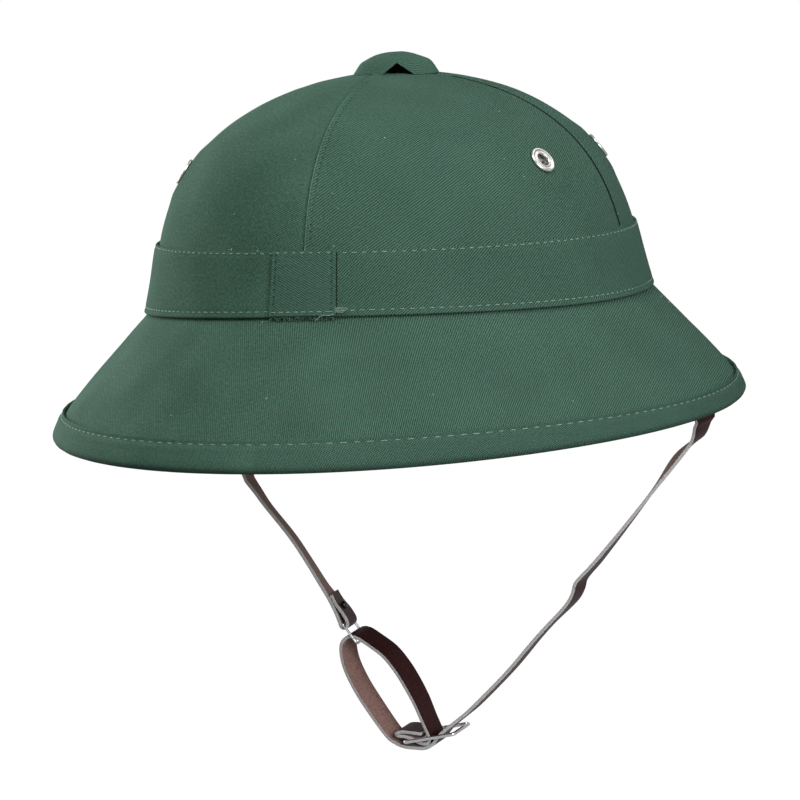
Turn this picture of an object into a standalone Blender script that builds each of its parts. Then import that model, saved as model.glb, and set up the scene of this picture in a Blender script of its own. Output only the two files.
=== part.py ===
"""Pith helmet: a light shell with a cloth cover in four crown gores and one brim piece,
a hat band, a bound rim, four eyelets, a cloth vent cap and a leather chin strap that
runs through a ring and a slide. Metres, +Z up, the head opening's centre at the origin,
the longer end of the brim toward -Y."""

import math

import bmesh
import bpy
from mathutils import Matrix, Vector

# The brim: its outline at the rim's edge and how it falls from the crown's base.
RIM_LENGTH = 0.3276
RIM_WIDTH = 0.2704
RIM_SETBACK = 0.0081
BRIM_DROP = 0.0447
BRIM_FLARE = 0.17
FLARE_FADE = 6
# The rim stands out further on the +X side.
SIDE_SWELL = 0.0030
SWELL_RISE = 3
SWELL_TURN = 4

# The crown: its outline at the base and how it closes over the head.
CROWN_LENGTH = 0.2318
CROWN_WIDTH = 0.2016
CROWN_HEIGHT = 0.0926
END_RISE = 0.0046
FRONT_RISE = 0.0014
CROWN_SHOULDER = 2.915
CROWN_ROUNDING = 1.969
CROWN_FOOT_SHARE = 0.061
CROWN_FOOT_FADE = 4.293

# Walls, cloth and the air that pieces keep between them.
GAP = 0.0003
CLOTH = 0.0010
SHELL_WALL = 0.0020
BAND_CLOTH = 0.0012
OVERLAP_CLOTH = 0.0010
BINDING_CLOTH = 0.0010

# The band round the crown's base, its overlap and the hem at the rim.
BAND_HEIGHT = 0.0274
BAND_FOOT = 0.0004
BAND_SLOPE = 0.0010
OVERLAP_WIDTH = 0.0264
OVERLAP_SHIFT = 0.0014
HEM_WIDTH = 0.0122
HEM_INSIDE = 0.0052
EDGE_SETBACK = 0.0022
BINDING_ROUNDING = 0.4
BINDING_CORNER = 1.7

# The vent at the top of the crown and its cap.
VENT_RADIUS = 0.0090
COVER_VENT_RADIUS = 0.0102
CAP_RADIUS = 0.0173
CAP_SHOULDER_RADIUS = 0.0139
CAP_HEIGHT = 0.0082
CAP_WALL = 0.0016
CAP_SHIFT = 0.0034
CAP_TURN = math.radians(19.7)
NOTCH_WIDTH = 0.0142
NOTCH_HEIGHT = 0.0050
NOTCH_RUN_ON = 1.3
CAP_FOOT_RISE = 0.06
# The cap's dome, as shares of its shoulder's radius and of its height.
CAP_DOME = ((0.0, 1.0), (0.45, 0.92), (0.80, 0.73), (1.0, 0.54))

# Eyelets: turned rings set through the wall, two on each side of the crown.
EYELET_TURN = math.radians(66)
EYELET_RISE = 0.615
EYELET_FLANGE = 0.00565
EYELET_BORE = 0.00265
EYELET_TUBE_WALL = 0.0006
EYELET_PROUD = 0.0010
EYELET_SEAT = 0.0005
EYELET_INNER_SEAT = 0.0011
EYELET_WASHER = 0.0043
EYELET_WASHER_THICKNESS = 0.0007
EYELET_LIP = 0.5
# The rolled flange, as shares of its width from the tube and of its height.
EYELET_BEAD = ((0.0, 1.0), (0.6, 0.9), (1.0, 0.3), (1.0, 0.0))

# The chin strap: a leather strip that hangs behind the middle of the head opening.
STRAP_WIDTH = 0.0125
STRAP_THICKNESS = 0.0014
STRAP_MIDDLE = 0.0200
STRAP_DROP = 0.1910
STRAP_END_SHARE = 0.13
STRAP_STEP = 0.0050

# The slide and the ring on the strap, bent from round wire.
SLIDE_WIRE = 0.0008
SLIDE_BAR_WIRE = 0.00077
SLIDE_WIDTH = 0.0160
SLIDE_CORNER = 0.0020
RING_WIRE = 0.00055
RING_WIDTH = 0.0144
RING_HEIGHT = 0.0099
RING_CORNER = 0.0018
RING_TILT = math.radians(35.1)

# Rivets that hold the folded strap end and the strap's two ends in the hat.
RIVET_HEAD = 0.0019
RIVET_SHANK = 0.0010
RIVET_DOME = 0.0012
RIVET_PLAY = 0.0005
# A domed head, as shares of its radius and of its dome's height.
DOMED_HEAD = ((0.0, 1.0), (0.6, 0.8), (1.0, 0.25), (1.0, 0.0))
STUD_HEAD = 0.0038
STUD_SHANK = 0.0013
STUD_DOME = 0.0010
# Where the studs cross the strap's ends, and how deep they go into the shell's wall.
STUD_SHARE = 0.55
STUD_BITE = 0.8
# A stud's low head, as shares of its radius and of its dome's height.
STUD_PROFILE = ((1.0, 0.0), (1.0, 0.4), (0.5, 1.0), (0.0, 1.0))

# How finely the rings and turned pieces are divided.
COLUMNS = 40
TURNED_STEPS = 16
CAP_STEPS = 28

HALF_RIM = RIM_WIDTH / 2
COVER_OUTSIDE = 0.0
COVER_INSIDE = -CLOTH
SHELL_OUTSIDE = COVER_INSIDE - GAP
SHELL_INSIDE = SHELL_OUTSIDE - SHELL_WALL
BAND_INSIDE = GAP
BAND_OUTSIDE = BAND_INSIDE + BAND_CLOTH
SLIDE_WRAP = SLIDE_WIRE + GAP + STRAP_THICKNESS / 2
RING_WRAP = RING_WIRE + GAP + STRAP_THICKNESS / 2

# Crown rows above the band, as shares of the quarter turn from its top edge to the vent.
CROWN_ROWS = (0.22, 0.42, 0.60, 0.74, 0.85, 0.93)
# Brim rows, as shares of the drop from the crown's base to the hem.
BRIM_ROWS = (0.04, 0.30, 0.65)

# Places on the strap, as shares of half the rim's width and of the strap's drop.
SLIDE_PLACE = (-0.0385, -0.978)
RING_PLACE = (-0.264, -0.7455)
# How far each fitting's far side stands off across and up, as a share of its width.
SLIDE_LEAN = (0.12, 0.072)
RING_LEAN = (-0.09, -0.02)
# The slide's outer bars from its middle bar, in wraps of the strap round the wire.
SLIDE_LEFT_BAR = (-4.94, -0.72)
SLIDE_RIGHT_BAR = (7.44, 1.50)

# Route of the strap's near edge, row by row: what the row is measured from, across, up,
# and how far the far edge stands off across and up, as a share of the strap's width.
# Rows under the brim are shares of the way from the crown's side to the rim's and of the
# brim's drop. Rows on the hat are shares of half the rim's width and of the strap's drop.
# Rows on the slide and the ring are wraps from the slide's middle bar and the ring's bars.
LONG_STRAP = (
    ("brim", -0.006, -0.269, -0.05, 0.03),
    ("brim", 0.174, -0.581, 0.10, 0.07),
    ("brim", 0.378, -0.893, 0.25, 0.12),
    ("hat", 0.873, -0.277, 0.376, 0.152),
    ("hat", 0.868, -0.295, 0.28, 0.11),
    ("hat", 0.858, -0.322, 0.12, 0.05),
    ("hat", 0.834, -0.346, -0.13, 0.10),
    ("hat", 0.793, -0.380, -0.21, 0.18),
    ("hat", 0.720, -0.438, -0.10, 0.08),
    ("hat", 0.626, -0.514, -0.04, 0.03),
    ("hat", 0.533, -0.586, 0.02, -0.02),
    ("hat", 0.491, -0.615, 0.07, -0.01),
    ("hat", 0.470, -0.632, 0.096, 0.0),
    ("hat", 0.461, -0.652, 0.096, 0.0),
    ("hat", 0.445, -0.672, 0.09, 0.0),
    ("hat", 0.419, -0.693, 0.05, 0.0),
    ("hat", 0.370, -0.727, 0.0, 0.0),
    ("hat", 0.321, -0.763, 0.0, 0.0),
    ("hat", 0.234, -0.830, 0.04, 0.02),
    ("hat", 0.118, -0.908, 0.09, 0.05),
    ("slide", 7.78, 4.22, 0.12, 0.072),
    ("slide", 4.44, 1.67, 0.12, 0.072),
    ("slide", 2.90, 0.11, 0.12, 0.072),
    ("slide", 1.72, -1.35, 0.12, 0.072),
    ("slide", -0.22, -2.33, 0.12, 0.072),
    ("slide", -2.67, -2.33, 0.12, 0.072),
    ("slide", -5.39, -2.06, 0.12, 0.072),
    ("slide", -7.78, -1.06, 0.12, 0.072),
    ("slide", -9.78, 0.67, 0.14, 0.085),
    ("hat", -0.228, -0.912, 0.18, 0.11),
    ("hat", -0.267, -0.865, 0.18, 0.11),
    ("hat", -0.294, -0.819, 0.18, 0.11),
    ("ring foot", -5.03, -1.87, 0.18, 0.12),
    ("ring foot", -4.32, 0.45, 0.18, 0.12),
    ("ring foot", -2.52, 1.74, 0.18, 0.12),
    ("ring foot", -0.32, 1.55, 0.18, 0.12),
    ("ring foot", 2.97, -0.52, 0.18, 0.12),
    ("hat", -0.165, -0.794, 0.18, 0.12),
    ("hat", -0.129, -0.825, 0.18, 0.12),
    ("hat", -0.099, -0.860, 0.18, 0.12),
    ("hat", -0.069, -0.901, 0.16, 0.10),
    ("slide", -0.56, 3.94, 0.13, 0.08),
    ("slide", 0.60, 1.20, 0.12, 0.072),
    ("slide", 1.06, -0.15, 0.12, 0.072),
    ("slide", 0.55, -1.10, 0.12, 0.072),
    ("slide", -0.50, -1.30, 0.12, 0.072),
    ("slide", -1.83, -0.94, 0.12, 0.072),
    ("slide", -3.28, -0.12, 0.12, 0.072),
    ("slide", -5.22, 0.38, 0.12, 0.072),
    ("slide", -6.60, 0.46, 0.12, 0.072),
    ("slide", -7.22, 0.86, 0.12, 0.072),
    ("slide", -6.60, 1.34, 0.12, 0.072),
    ("slide", -5.20, 1.50, 0.12, 0.072),
    ("slide", -3.22, 1.30, 0.12, 0.072),
    ("slide", -1.10, 1.05, 0.12, 0.072),
)
SHORT_STRAP = (
    ("brim", -0.167, -0.269, 0.02, 0.0),
    ("brim", -0.210, -0.628, 0.0, 0.0),
    ("brim", -0.328, -1.030, -0.05, 0.0),
    ("hat", -0.625, -0.325, -0.10, 0.0),
    ("hat", -0.587, -0.394, -0.13, 0.0),
    ("hat", -0.580, -0.407, -0.14, -0.03),
    ("hat", -0.557, -0.428, -0.17, -0.08),
    ("hat", -0.522, -0.462, -0.19, -0.14),
    ("hat", -0.450, -0.527, -0.19, -0.14),
    ("hat", -0.403, -0.578, -0.19, -0.14),
    ("hat", -0.353, -0.639, -0.18, -0.10),
    ("ring head", -4.19, 7.48, -0.17, -0.02),
    ("ring head", -3.03, 5.10, -0.16, 0.02),
    ("ring head", -1.94, 2.60, -0.13, 0.02),
    ("ring head", -1.17, 0.35, -0.09, -0.02),
    ("ring head", -0.78, -0.84, -0.09, -0.02),
    ("ring head", 0.15, -1.15, -0.09, -0.02),
    ("ring head", 0.98, -0.56, -0.09, -0.02),
    ("ring head", 1.10, 0.55, -0.09, -0.02),
    ("ring head", 0.00, 2.71, -0.13, 0.02),
    ("ring head", -1.89, 5.32, -0.16, 0.02),
    ("ring head", -3.15, 8.00, -0.17, -0.02),
)
# Where the rivet crosses the folded end, in wraps from the ring's upper bar.
RIVET_ROW = (-1.70, 3.90)
RIVET_LEAN = (-0.14, 0.02)
# The way the folded end runs there, across and up.
RIVET_RUN = (-0.50, 0.865)
# How far the strap's two layers stand from the rivet's middle, in wraps.
RIVET_SPREAD = 0.75

FINISHES = {
    "cloth": ((0.055, 0.145, 0.105), 0.92, 0.0),
    "shell": ((0.62, 0.52, 0.36), 0.85, 0.0),
    "leather": ((0.045, 0.018, 0.018), 0.42, 0.0),
    "steel": ((0.62, 0.62, 0.60), 0.28, 1.0),
    "nickel": ((0.80, 0.80, 0.78), 0.22, 1.0),
}


def clear_scene():
    for thing in list(bpy.data.objects):
        bpy.data.objects.remove(thing, do_unlink=True)


def new_collection(name):
    collection = bpy.data.collections.new(name)
    bpy.context.scene.collection.children.link(collection)
    return collection


def new_material(name, finish):
    """A material of its own for one piece, in one of the hat's finishes."""
    colour, roughness, metallic = FINISHES[finish]
    material = bpy.data.materials.new(name)
    material.use_nodes = True
    shader = material.node_tree.nodes["Principled BSDF"]
    shader.inputs["Base Color"].default_value = (*colour, 1.0)
    shader.inputs["Roughness"].default_value = roughness
    shader.inputs["Metallic"].default_value = metallic
    material.diffuse_color = (*colour, 1.0)
    return material


def dress(piece, finish):
    piece.data.materials.clear()
    piece.data.materials.append(new_material(piece.name, finish))


def spread(rise):
    """The crown's share of its base size, at a share of its height."""
    dome = (1 - rise**CROWN_SHOULDER) ** (1 / CROWN_ROUNDING)
    foot = (1 - rise) ** CROWN_FOOT_FADE
    return (1 - CROWN_FOOT_SHARE) * dome + CROWN_FOOT_SHARE * foot


def rise_at(wanted_spread):
    """The share of the crown's height at which it has closed in to a share of its base."""
    low, high = 0.0, 1.0
    for _ in range(40):
        middle = (low + high) / 2
        if spread(middle) > wanted_spread:
            low = middle
        else:
            high = middle
    return low


def skin(turn, station):
    """A point of the cover's outer face. The turn runs from -Y toward +X. The station is
    -1 at the rim, 0 at the crown's base and 1 at its top."""
    end_rise = END_RISE * math.cos(turn) ** 2
    front_rise = FRONT_RISE * math.cos(turn)
    if station >= 0:
        across = CROWN_WIDTH / 2 * spread(station)
        along = CROWN_LENGTH / 2 * spread(station)
        up = CROWN_HEIGHT * station + end_rise * (1 - station) ** 2 + front_rise * (1 - station)
        back = 0.0
    else:
        drop = -station
        reach = drop * (1 + BRIM_FLARE * (1 - drop**FLARE_FADE))
        swell = SIDE_SWELL * drop**SWELL_RISE * max(0.0, math.sin(turn)) ** SWELL_TURN
        across = CROWN_WIDTH / 2 + (RIM_WIDTH - CROWN_WIDTH) / 2 * reach + swell
        along = CROWN_LENGTH / 2 + (RIM_LENGTH - CROWN_LENGTH) / 2 * reach
        up = -BRIM_DROP * drop + (1 - drop) * (end_rise + front_rise)
        back = -RIM_SETBACK * drop
    return Vector((across * math.sin(turn), back - along * math.cos(turn), up))


def skin_normal(turn, station):
    step = 0.002
    upper = min(station + step, 0.9995)
    around = skin(turn + step, station) - skin(turn - step, station)
    upward = skin(turn, upper) - skin(turn, station - step)
    return around.cross(upward).normalized()


def layer(turn, station, lift):
    """A point that stands off the cover's outer face by a lift."""
    return skin(turn, station) + skin_normal(turn, station) * lift


def loft(name, sections, cyclic, finish, collection):
    """Skins closed sections into one solid. Each section lists one side of the wall and
    then the other side backwards, so that end caps pair its points."""
    mesh = bmesh.new()
    rings = [[mesh.verts.new(point) for point in section] for section in sections]
    count = len(rings[0])
    following = rings[1:] + rings[:1] if cyclic else rings[1:]
    for here, there in zip(rings, following):
        for i in range(count):
            j = (i + 1) % count
            mesh.faces.new((here[i], here[j], there[j], there[i]))
    if not cyclic:
        for ring in (rings[0], rings[-1]):
            for i in range(count // 2 - 1):
                mesh.faces.new((ring[i], ring[i + 1], ring[count - 2 - i], ring[count - 1 - i]))
    bmesh.ops.recalc_face_normals(mesh, faces=mesh.faces)
    return object_from(name, mesh, finish, collection)


def object_from(name, mesh, finish, collection):
    data = bpy.data.meshes.new(name)
    mesh.to_mesh(data)
    mesh.free()
    piece = bpy.data.objects.new(name, data)
    collection.objects.link(piece)
    if finish:
        dress(piece, finish)
        data.shade_smooth()
        data.set_sharp_from_angle(angle=math.radians(40))
    return piece


def wall_section(turn, stations, outside, inside):
    """A wall between two lifts, along a list of stations."""
    outer = [layer(turn, station, outside) for station in stations]
    inner = [layer(turn, station, inside) for station in stations]
    return outer + inner[::-1]


def ring_turns():
    return [2 * math.pi * i / COLUMNS for i in range(COLUMNS)]


def band_top(turn):
    """The band's top edge as a share of the crown's height. It is higher on the -X side."""
    return (BAND_HEIGHT - BAND_SLOPE * math.sin(turn)) / CROWN_HEIGHT


def crown_stations(foot, last_spread):
    """Rows up the crown from a foot to the spread at which a layer ends."""
    band = BAND_HEIGHT / CROWN_HEIGHT
    start = math.asin(band)
    end = math.asin(rise_at(last_spread))
    above = [math.sin(start + (end - start) * share) for share in CROWN_ROWS]
    return [foot, band / 3, band * 2 / 3, band] + above + [rise_at(last_spread)]


def hem_drop():
    """The share of the brim's drop at which the hem's upper edge lies."""
    slant = math.hypot((RIM_WIDTH - CROWN_WIDTH) / 2, BRIM_DROP)
    return 1 - HEM_WIDTH / slant


def edge_drop():
    """The share of the brim's drop at which the shell and its cover end, inside the binding."""
    return 1 - EDGE_SETBACK / BRIM_DROP


def tuck_drop():
    """The share of the brim's drop at which the binding ends inside."""
    return edge_drop() - HEM_INSIDE / BRIM_DROP


def brim_stations():
    """Rows down the brim, from below the crown's base to the covered edge, as stations."""
    hem = hem_drop()
    drops = [share * hem for share in BRIM_ROWS] + [hem, tuck_drop(), edge_drop()]
    return [-drop for drop in drops]


def make_shell(collection):
    up = crown_stations(0.0, 2 * VENT_RADIUS / CROWN_WIDTH)
    stations = brim_stations()[::-1] + up
    sections = [wall_section(turn, stations, SHELL_OUTSIDE, SHELL_INSIDE) for turn in ring_turns()]
    return loft("helmet_shell", sections, True, "shell", collection)


def make_gore(name, quarter, collection):
    """One quarter of the crown's cover, half a gap short of the seams at its two sides."""
    foot = GAP / CROWN_HEIGHT
    stations = crown_stations(foot, 2 * COVER_VENT_RADIUS / CROWN_WIDTH)
    columns = COLUMNS // 4
    sections = []
    for column in range(columns + 1):
        turn = math.pi / 2 * (quarter + column / columns)
        side = {0: 1, columns: -1}.get(column, 0)
        turns = [turn + side * GAP / 2 / (spread(s) * CROWN_WIDTH / 2) for s in stations]
        outer = [layer(t, s, COVER_OUTSIDE) for t, s in zip(turns, stations)]
        inner = [layer(t, s, COVER_INSIDE) for t, s in zip(turns, stations)]
        sections.append(outer + inner[::-1])
    return loft(name, sections, False, "cloth", collection)


def make_brim_cover(collection):
    stations = [-GAP / BRIM_DROP] + brim_stations()
    sections = [wall_section(turn, stations, COVER_OUTSIDE, COVER_INSIDE) for turn in ring_turns()]
    return loft("brim_cover", sections, True, "cloth", collection)


def band_stations(turn):
    foot = BAND_FOOT / CROWN_HEIGHT
    band = BAND_HEIGHT / CROWN_HEIGHT
    return [foot, band / 3, band * 2 / 3, band_top(turn)]


def make_band(collection):
    sections = [
        wall_section(turn, band_stations(turn), BAND_OUTSIDE, BAND_INSIDE) for turn in ring_turns()
    ]
    return loft("hat_band", sections, True, "cloth", collection)


def make_band_overlap(collection):
    """The band's end, folded over its start at the near seam."""
    inside = BAND_OUTSIDE + GAP
    outside = inside + OVERLAP_CLOTH
    half = math.asin(OVERLAP_WIDTH / CROWN_WIDTH)
    middle = math.asin(2 * OVERLAP_SHIFT / CROWN_WIDTH)
    turns = (middle - half, middle, middle + half)
    sections = [wall_section(turn, band_stations(turn), outside, inside) for turn in turns]
    return loft("band_overlap", sections, False, "cloth", collection)


def make_rim_binding(collection):
    """The hem that wraps the rim: down the outside, round the edge and up the inside."""
    edge = edge_drop()
    hem = hem_drop()
    lip = edge + (GAP + BINDING_ROUNDING * BINDING_CLOTH) / BRIM_DROP
    tuck = tuck_drop()
    near_in = COVER_OUTSIDE + GAP
    near_out = near_in + BINDING_CLOTH
    far_in = SHELL_INSIDE - GAP
    far_out = far_in - BINDING_CLOTH
    round_top = near_out - BINDING_ROUNDING * BINDING_CLOTH
    round_side = near_out - BINDING_CORNER * BINDING_CLOTH
    round_foot = far_out + BINDING_CORNER * BINDING_CLOTH
    rim_middle = (near_in + far_in) / 2
    outer = (
        (hem, near_out),
        (tuck, near_out),
        (edge, near_out),
        ((edge + 1) / 2, round_top),
        (1.0, round_side),
        (1.0, round_foot),
        (edge, far_out),
        (tuck, far_out),
    )
    inner = (
        (hem, near_in),
        (tuck, near_in),
        (edge, near_in),
        (lip, near_in - BINDING_ROUNDING * BINDING_CLOTH),
        (lip, rim_middle + BINDING_ROUNDING * BINDING_CLOTH),
        (lip, rim_middle - BINDING_ROUNDING * BINDING_CLOTH),
        (edge, far_in),
        (tuck, far_in),
    )
    outline = outer + inner[::-1]
    sections = [[layer(turn, -drop, lift) for drop, lift in outline] for turn in ring_turns()]
    return loft("rim_binding", sections, True, "cloth", collection)


def turned(name, profile, steps, finish, collection, closed):
    """A profile of (radius, height) turned about Z. A closed profile makes a ring."""
    mesh = bmesh.new()
    points = [mesh.verts.new((radius, 0.0, height)) for radius, height in profile]
    following = points[1:] + points[:1] if closed else points[1:]
    for here, there in zip(points, following):
        mesh.edges.new((here, there))
    piece = object_from(name, mesh, finish, collection)
    screw = piece.modifiers.new("Turn", "SCREW")
    screw.steps = steps
    screw.render_steps = steps
    screw.use_merge_vertices = True
    screw.merge_threshold = 0.00001
    screw.use_smooth_shade = True
    return piece


def along_axis(place, axis):
    """The matrix that stands a turned piece at a place, its height along an axis."""
    turn = axis.to_track_quat("Z", "Y").to_matrix().to_4x4()
    return Matrix.Translation(place) @ turn


def cylinder_cutter(name, radius, length, matrix, collection):
    mesh = bmesh.new()
    bmesh.ops.create_cone(
        mesh, cap_ends=True, segments=TURNED_STEPS, radius1=radius, radius2=radius, depth=length
    )
    return place_cutter(name, mesh, matrix, collection)


def place_cutter(name, mesh, matrix, collection):
    cutter = object_from(name, mesh, None, collection)
    cutter.matrix_world = matrix
    cutter.hide_render = True
    cutter.display_type = "WIRE"
    return cutter


def combine(piece, other, operation):
    boolean = piece.modifiers.new(other.name, "BOOLEAN")
    boolean.operation = operation
    boolean.solver = "EXACT"
    boolean.object = other


def make_eyelet(name, turn, collection, cutters, shell, gore):
    """A turned eyelet through the cover and the shell, and the hole it sits in."""
    tube = EYELET_BORE + EYELET_TUBE_WALL
    washer_top = SHELL_INSIDE - EYELET_INNER_SEAT
    washer_foot = washer_top - EYELET_WASHER_THICKNESS
    flange_foot = COVER_OUTSIDE + EYELET_SEAT
    bead = EYELET_FLANGE - tube
    rolled = [
        (tube + share * bead, flange_foot + rise * EYELET_PROUD) for share, rise in EYELET_BEAD
    ]
    profile = [(EYELET_BORE, flange_foot + EYELET_LIP * EYELET_PROUD)] + rolled + [
        (tube, flange_foot),
        (tube, washer_top),
        (EYELET_WASHER, washer_top),
        (EYELET_WASHER, washer_foot),
        (EYELET_BORE, washer_foot),
    ]
    place = skin(turn, EYELET_RISE)
    axis = skin_normal(turn, EYELET_RISE)
    eyelet = turned(name, profile, TURNED_STEPS, "nickel", collection, True)
    eyelet.matrix_world = along_axis(place, axis)
    depth = 6 * (CLOTH + SHELL_WALL)
    hole = cylinder_cutter(
        "cut_" + name, tube + GAP, depth, along_axis(place, axis), cutters
    )
    combine(shell, hole, "DIFFERENCE")
    combine(gore, hole, "DIFFERENCE")
    return eyelet


def cap_seat(centre):
    """The height at which the cap's flat foot clears the crown's cover all round."""
    heights = []
    for i in range(CAP_STEPS):
        turn = 2 * math.pi * i / CAP_STEPS
        x = centre[0] + (CAP_RADIUS - CAP_WALL) * math.sin(turn)
        y = centre[1] - (CAP_RADIUS - CAP_WALL) * math.cos(turn)
        share = math.hypot(2 * x / CROWN_WIDTH, 2 * y / CROWN_LENGTH)
        heights.append(CROWN_HEIGHT * rise_at(share))
    return max(heights) + GAP


def make_vent_cap(collection, cutters):
    """A hollow turned cap over the vent, with a notch in its front."""
    inner_shoulder = CAP_SHOULDER_RADIUS - CAP_WALL
    inside = CAP_HEIGHT - CAP_WALL
    outer = [(share * CAP_SHOULDER_RADIUS, rise * CAP_HEIGHT) for share, rise in CAP_DOME]
    foot = [
        (CAP_RADIUS, CAP_FOOT_RISE * CAP_HEIGHT),
        (CAP_RADIUS, 0.0),
        (CAP_RADIUS - CAP_WALL, 0.0),
    ]
    inner = [(share * inner_shoulder, rise * inside) for share, rise in CAP_DOME]
    profile = outer + foot + inner[::-1]
    centre = Vector((CAP_SHIFT * math.cos(CAP_TURN), CAP_SHIFT * math.sin(CAP_TURN), 0.0))
    centre.z = cap_seat(centre)
    cap = turned("vent_cap", profile, CAP_STEPS, "cloth", collection, False)
    cap.matrix_world = Matrix.Translation(centre)
    mesh = bmesh.new()
    bmesh.ops.create_cone(
        mesh, cap_ends=True, segments=3, radius1=1.0, radius2=1.0, depth=2 * CAP_RADIUS
    )
    # The prism's section has one corner 1 up and two feet half down, and its sides run
    # on below the cap's foot.
    across = NOTCH_RUN_ON * NOTCH_WIDTH / math.sqrt(3)
    up = NOTCH_RUN_ON * NOTCH_HEIGHT / 1.5
    scale = Matrix.Diagonal((across, up, 1.0, 1.0))
    lift = Matrix.Translation((0.0, NOTCH_HEIGHT - up, 0.0))
    lie = Matrix.Rotation(math.pi / 2, 4, "X")
    to_front = Matrix.Translation((0.0, -CAP_RADIUS - NOTCH_WIDTH / 4, 0.0))
    bmesh.ops.transform(mesh, matrix=to_front @ lie @ lift @ scale, verts=mesh.verts)
    turn = Matrix.Rotation(CAP_TURN, 4, "Z")
    notch = place_cutter("cut_cap_notch", mesh, Matrix.Translation(centre) @ turn, cutters)
    combine(cap, notch, "DIFFERENCE")
    return cap


def near_edge():
    return STRAP_MIDDLE - STRAP_WIDTH / 2


def lean_direction(lean):
    return Vector((lean[0], 1.0, lean[1])).normalized()


def hat_place(across, up):
    return Vector((across * HALF_RIM, near_edge(), up * STRAP_DROP))


def ring_bars():
    """The near ends of the ring's upper and lower bars, at the strap's near edge."""
    centre = hat_place(*RING_PLACE)
    half = Vector((-math.sin(RING_TILT), 0.0, math.cos(RING_TILT))) * RING_HEIGHT / 2
    return centre + half, centre - half


def brim_place(side, across, up):
    """A point under the brim, from the crown's side outward and down."""
    reach = CROWN_WIDTH / 2 + (RIM_WIDTH - CROWN_WIDTH) / 2 * across
    return Vector((side * reach, near_edge(), up * BRIM_DROP))


def route_point(row, side):
    """A row of a strap's table as its near edge and the direction of its width."""
    origin, across, up = row[:3]
    head, foot = ring_bars()
    if origin == "hat":
        point = hat_place(across, up)
    elif origin == "brim":
        point = brim_place(side, across, up)
    elif origin == "slide":
        point = hat_place(*SLIDE_PLACE) + Vector((across, 0.0, up)) * SLIDE_WRAP
    elif origin == "ring head":
        point = head + Vector((across, 0.0, up)) * RING_WRAP
    else:
        point = foot + Vector((across, 0.0, up)) * RING_WRAP
    return point, lean_direction(row[3:])


def wall_place(side, along, rise):
    """A point against the shell's inner face, at a distance along Y and a rise."""
    turn = math.acos(-along / (CROWN_LENGTH / 2 * spread(rise)))
    facet_sag = CROWN_LENGTH / 2 * (1 - math.cos(math.pi / COLUMNS))
    lift = SHELL_INSIDE - GAP - facet_sag - STRAP_THICKNESS / 2
    point = layer(turn, rise, lift)
    return Vector((side * point.x, along, point.z))


def wall_rows(side):
    """The strap's fixed end, flat against the shell's inner face."""
    rows = []
    for share in (1.0, 0.5, 0.0):
        rise = STRAP_END_SHARE * share
        near = wall_place(side, near_edge(), rise)
        far = wall_place(side, near_edge() + STRAP_WIDTH, rise)
        rows.append((near, (far - near).normalized()))
    return rows


def smooth_route(rows):
    """Points between the rows on a smooth curve through them."""
    result = []
    last = len(rows) - 1
    for i in range(last):
        four = [rows[max(i - 1, 0)], rows[i], rows[i + 1], rows[min(i + 2, last)]]
        span = (four[2][0] - four[1][0]).length
        steps = max(1, round(span / STRAP_STEP + 0.3))
        for step in range(steps):
            share = step / steps
            result.append(
                tuple(between([row[part] for row in four], share) for part in (0, 1))
            )
    result.append(rows[-1])
    return result


def between(four, share):
    """The curve through the middle two of four points, after Catmull and Rom."""
    before, start, end, after = four
    slope_in = (end - before) / 2
    slope_out = (after - start) / 2
    square = share * share
    cube = square * share
    return (
        start * (2 * cube - 3 * square + 1)
        + slope_in * (cube - 2 * square + share)
        + end * (3 * square - 2 * cube)
        + slope_out * (cube - square)
    )


def make_strap(name, side, table, collection):
    """A strip with its width along Y that follows a route in the XZ plane."""
    rows = wall_rows(side) + [route_point(row, side) for row in table]
    route = smooth_route(rows)
    sections = []
    for i, (near, width) in enumerate(route):
        before = route[max(i - 1, 0)][0]
        after = route[min(i + 1, len(route) - 1)][0]
        half = (after - before).cross(width).normalized() * STRAP_THICKNESS / 2
        far = near + width.normalized() * STRAP_WIDTH
        sections.append((near + half, far + half, far - half, near - half))
    return loft(name, sections, False, "leather", collection)


def wire(name, corners, corner_radius, radius, collection, cyclic):
    """A wire bent through corners, made a closed mesh so that wires can be joined."""
    points = []
    for i, corner in enumerate(corners):
        if not cyclic:
            points.append(corner)
            continue
        back = (corners[i - 1] - corner).normalized() * corner_radius
        forth = (corners[(i + 1) % len(corners)] - corner).normalized() * corner_radius
        for share in (0.0, 0.35, 0.65, 1.0):
            points.append(corner + back * (1 - share) ** 2 + forth * share**2)
    data = bpy.data.curves.new(name, "CURVE")
    data.dimensions = "3D"
    data.bevel_depth = radius
    data.bevel_resolution = 2
    data.use_fill_caps = True
    spline = data.splines.new("POLY")
    spline.points.add(len(points) - 1)
    for slot, point in zip(spline.points, points):
        slot.co = (*point, 1.0)
    spline.use_cyclic_u = cyclic
    guide = bpy.data.objects.new(name + "_path", data)
    collection.objects.link(guide)
    bpy.context.view_layer.update()
    graph = bpy.context.evaluated_depsgraph_get()
    data = bpy.data.meshes.new_from_object(guide.evaluated_get(graph))
    bpy.data.objects.remove(guide, do_unlink=True)
    mesh = bmesh.new()
    mesh.from_mesh(data)
    bmesh.ops.remove_doubles(mesh, verts=mesh.verts, dist=0.00001)
    bmesh.ops.recalc_face_normals(mesh, faces=mesh.faces)
    bpy.data.meshes.remove(data)
    return object_from(name, mesh, "steel", collection)


def bar_ends(near, lean, width):
    """The two ends of a fitting's bar, centred on the strap's width."""
    direction = lean_direction(lean)
    middle = near + direction * STRAP_WIDTH / 2
    return middle - direction * width / 2, middle + direction * width / 2


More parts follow.
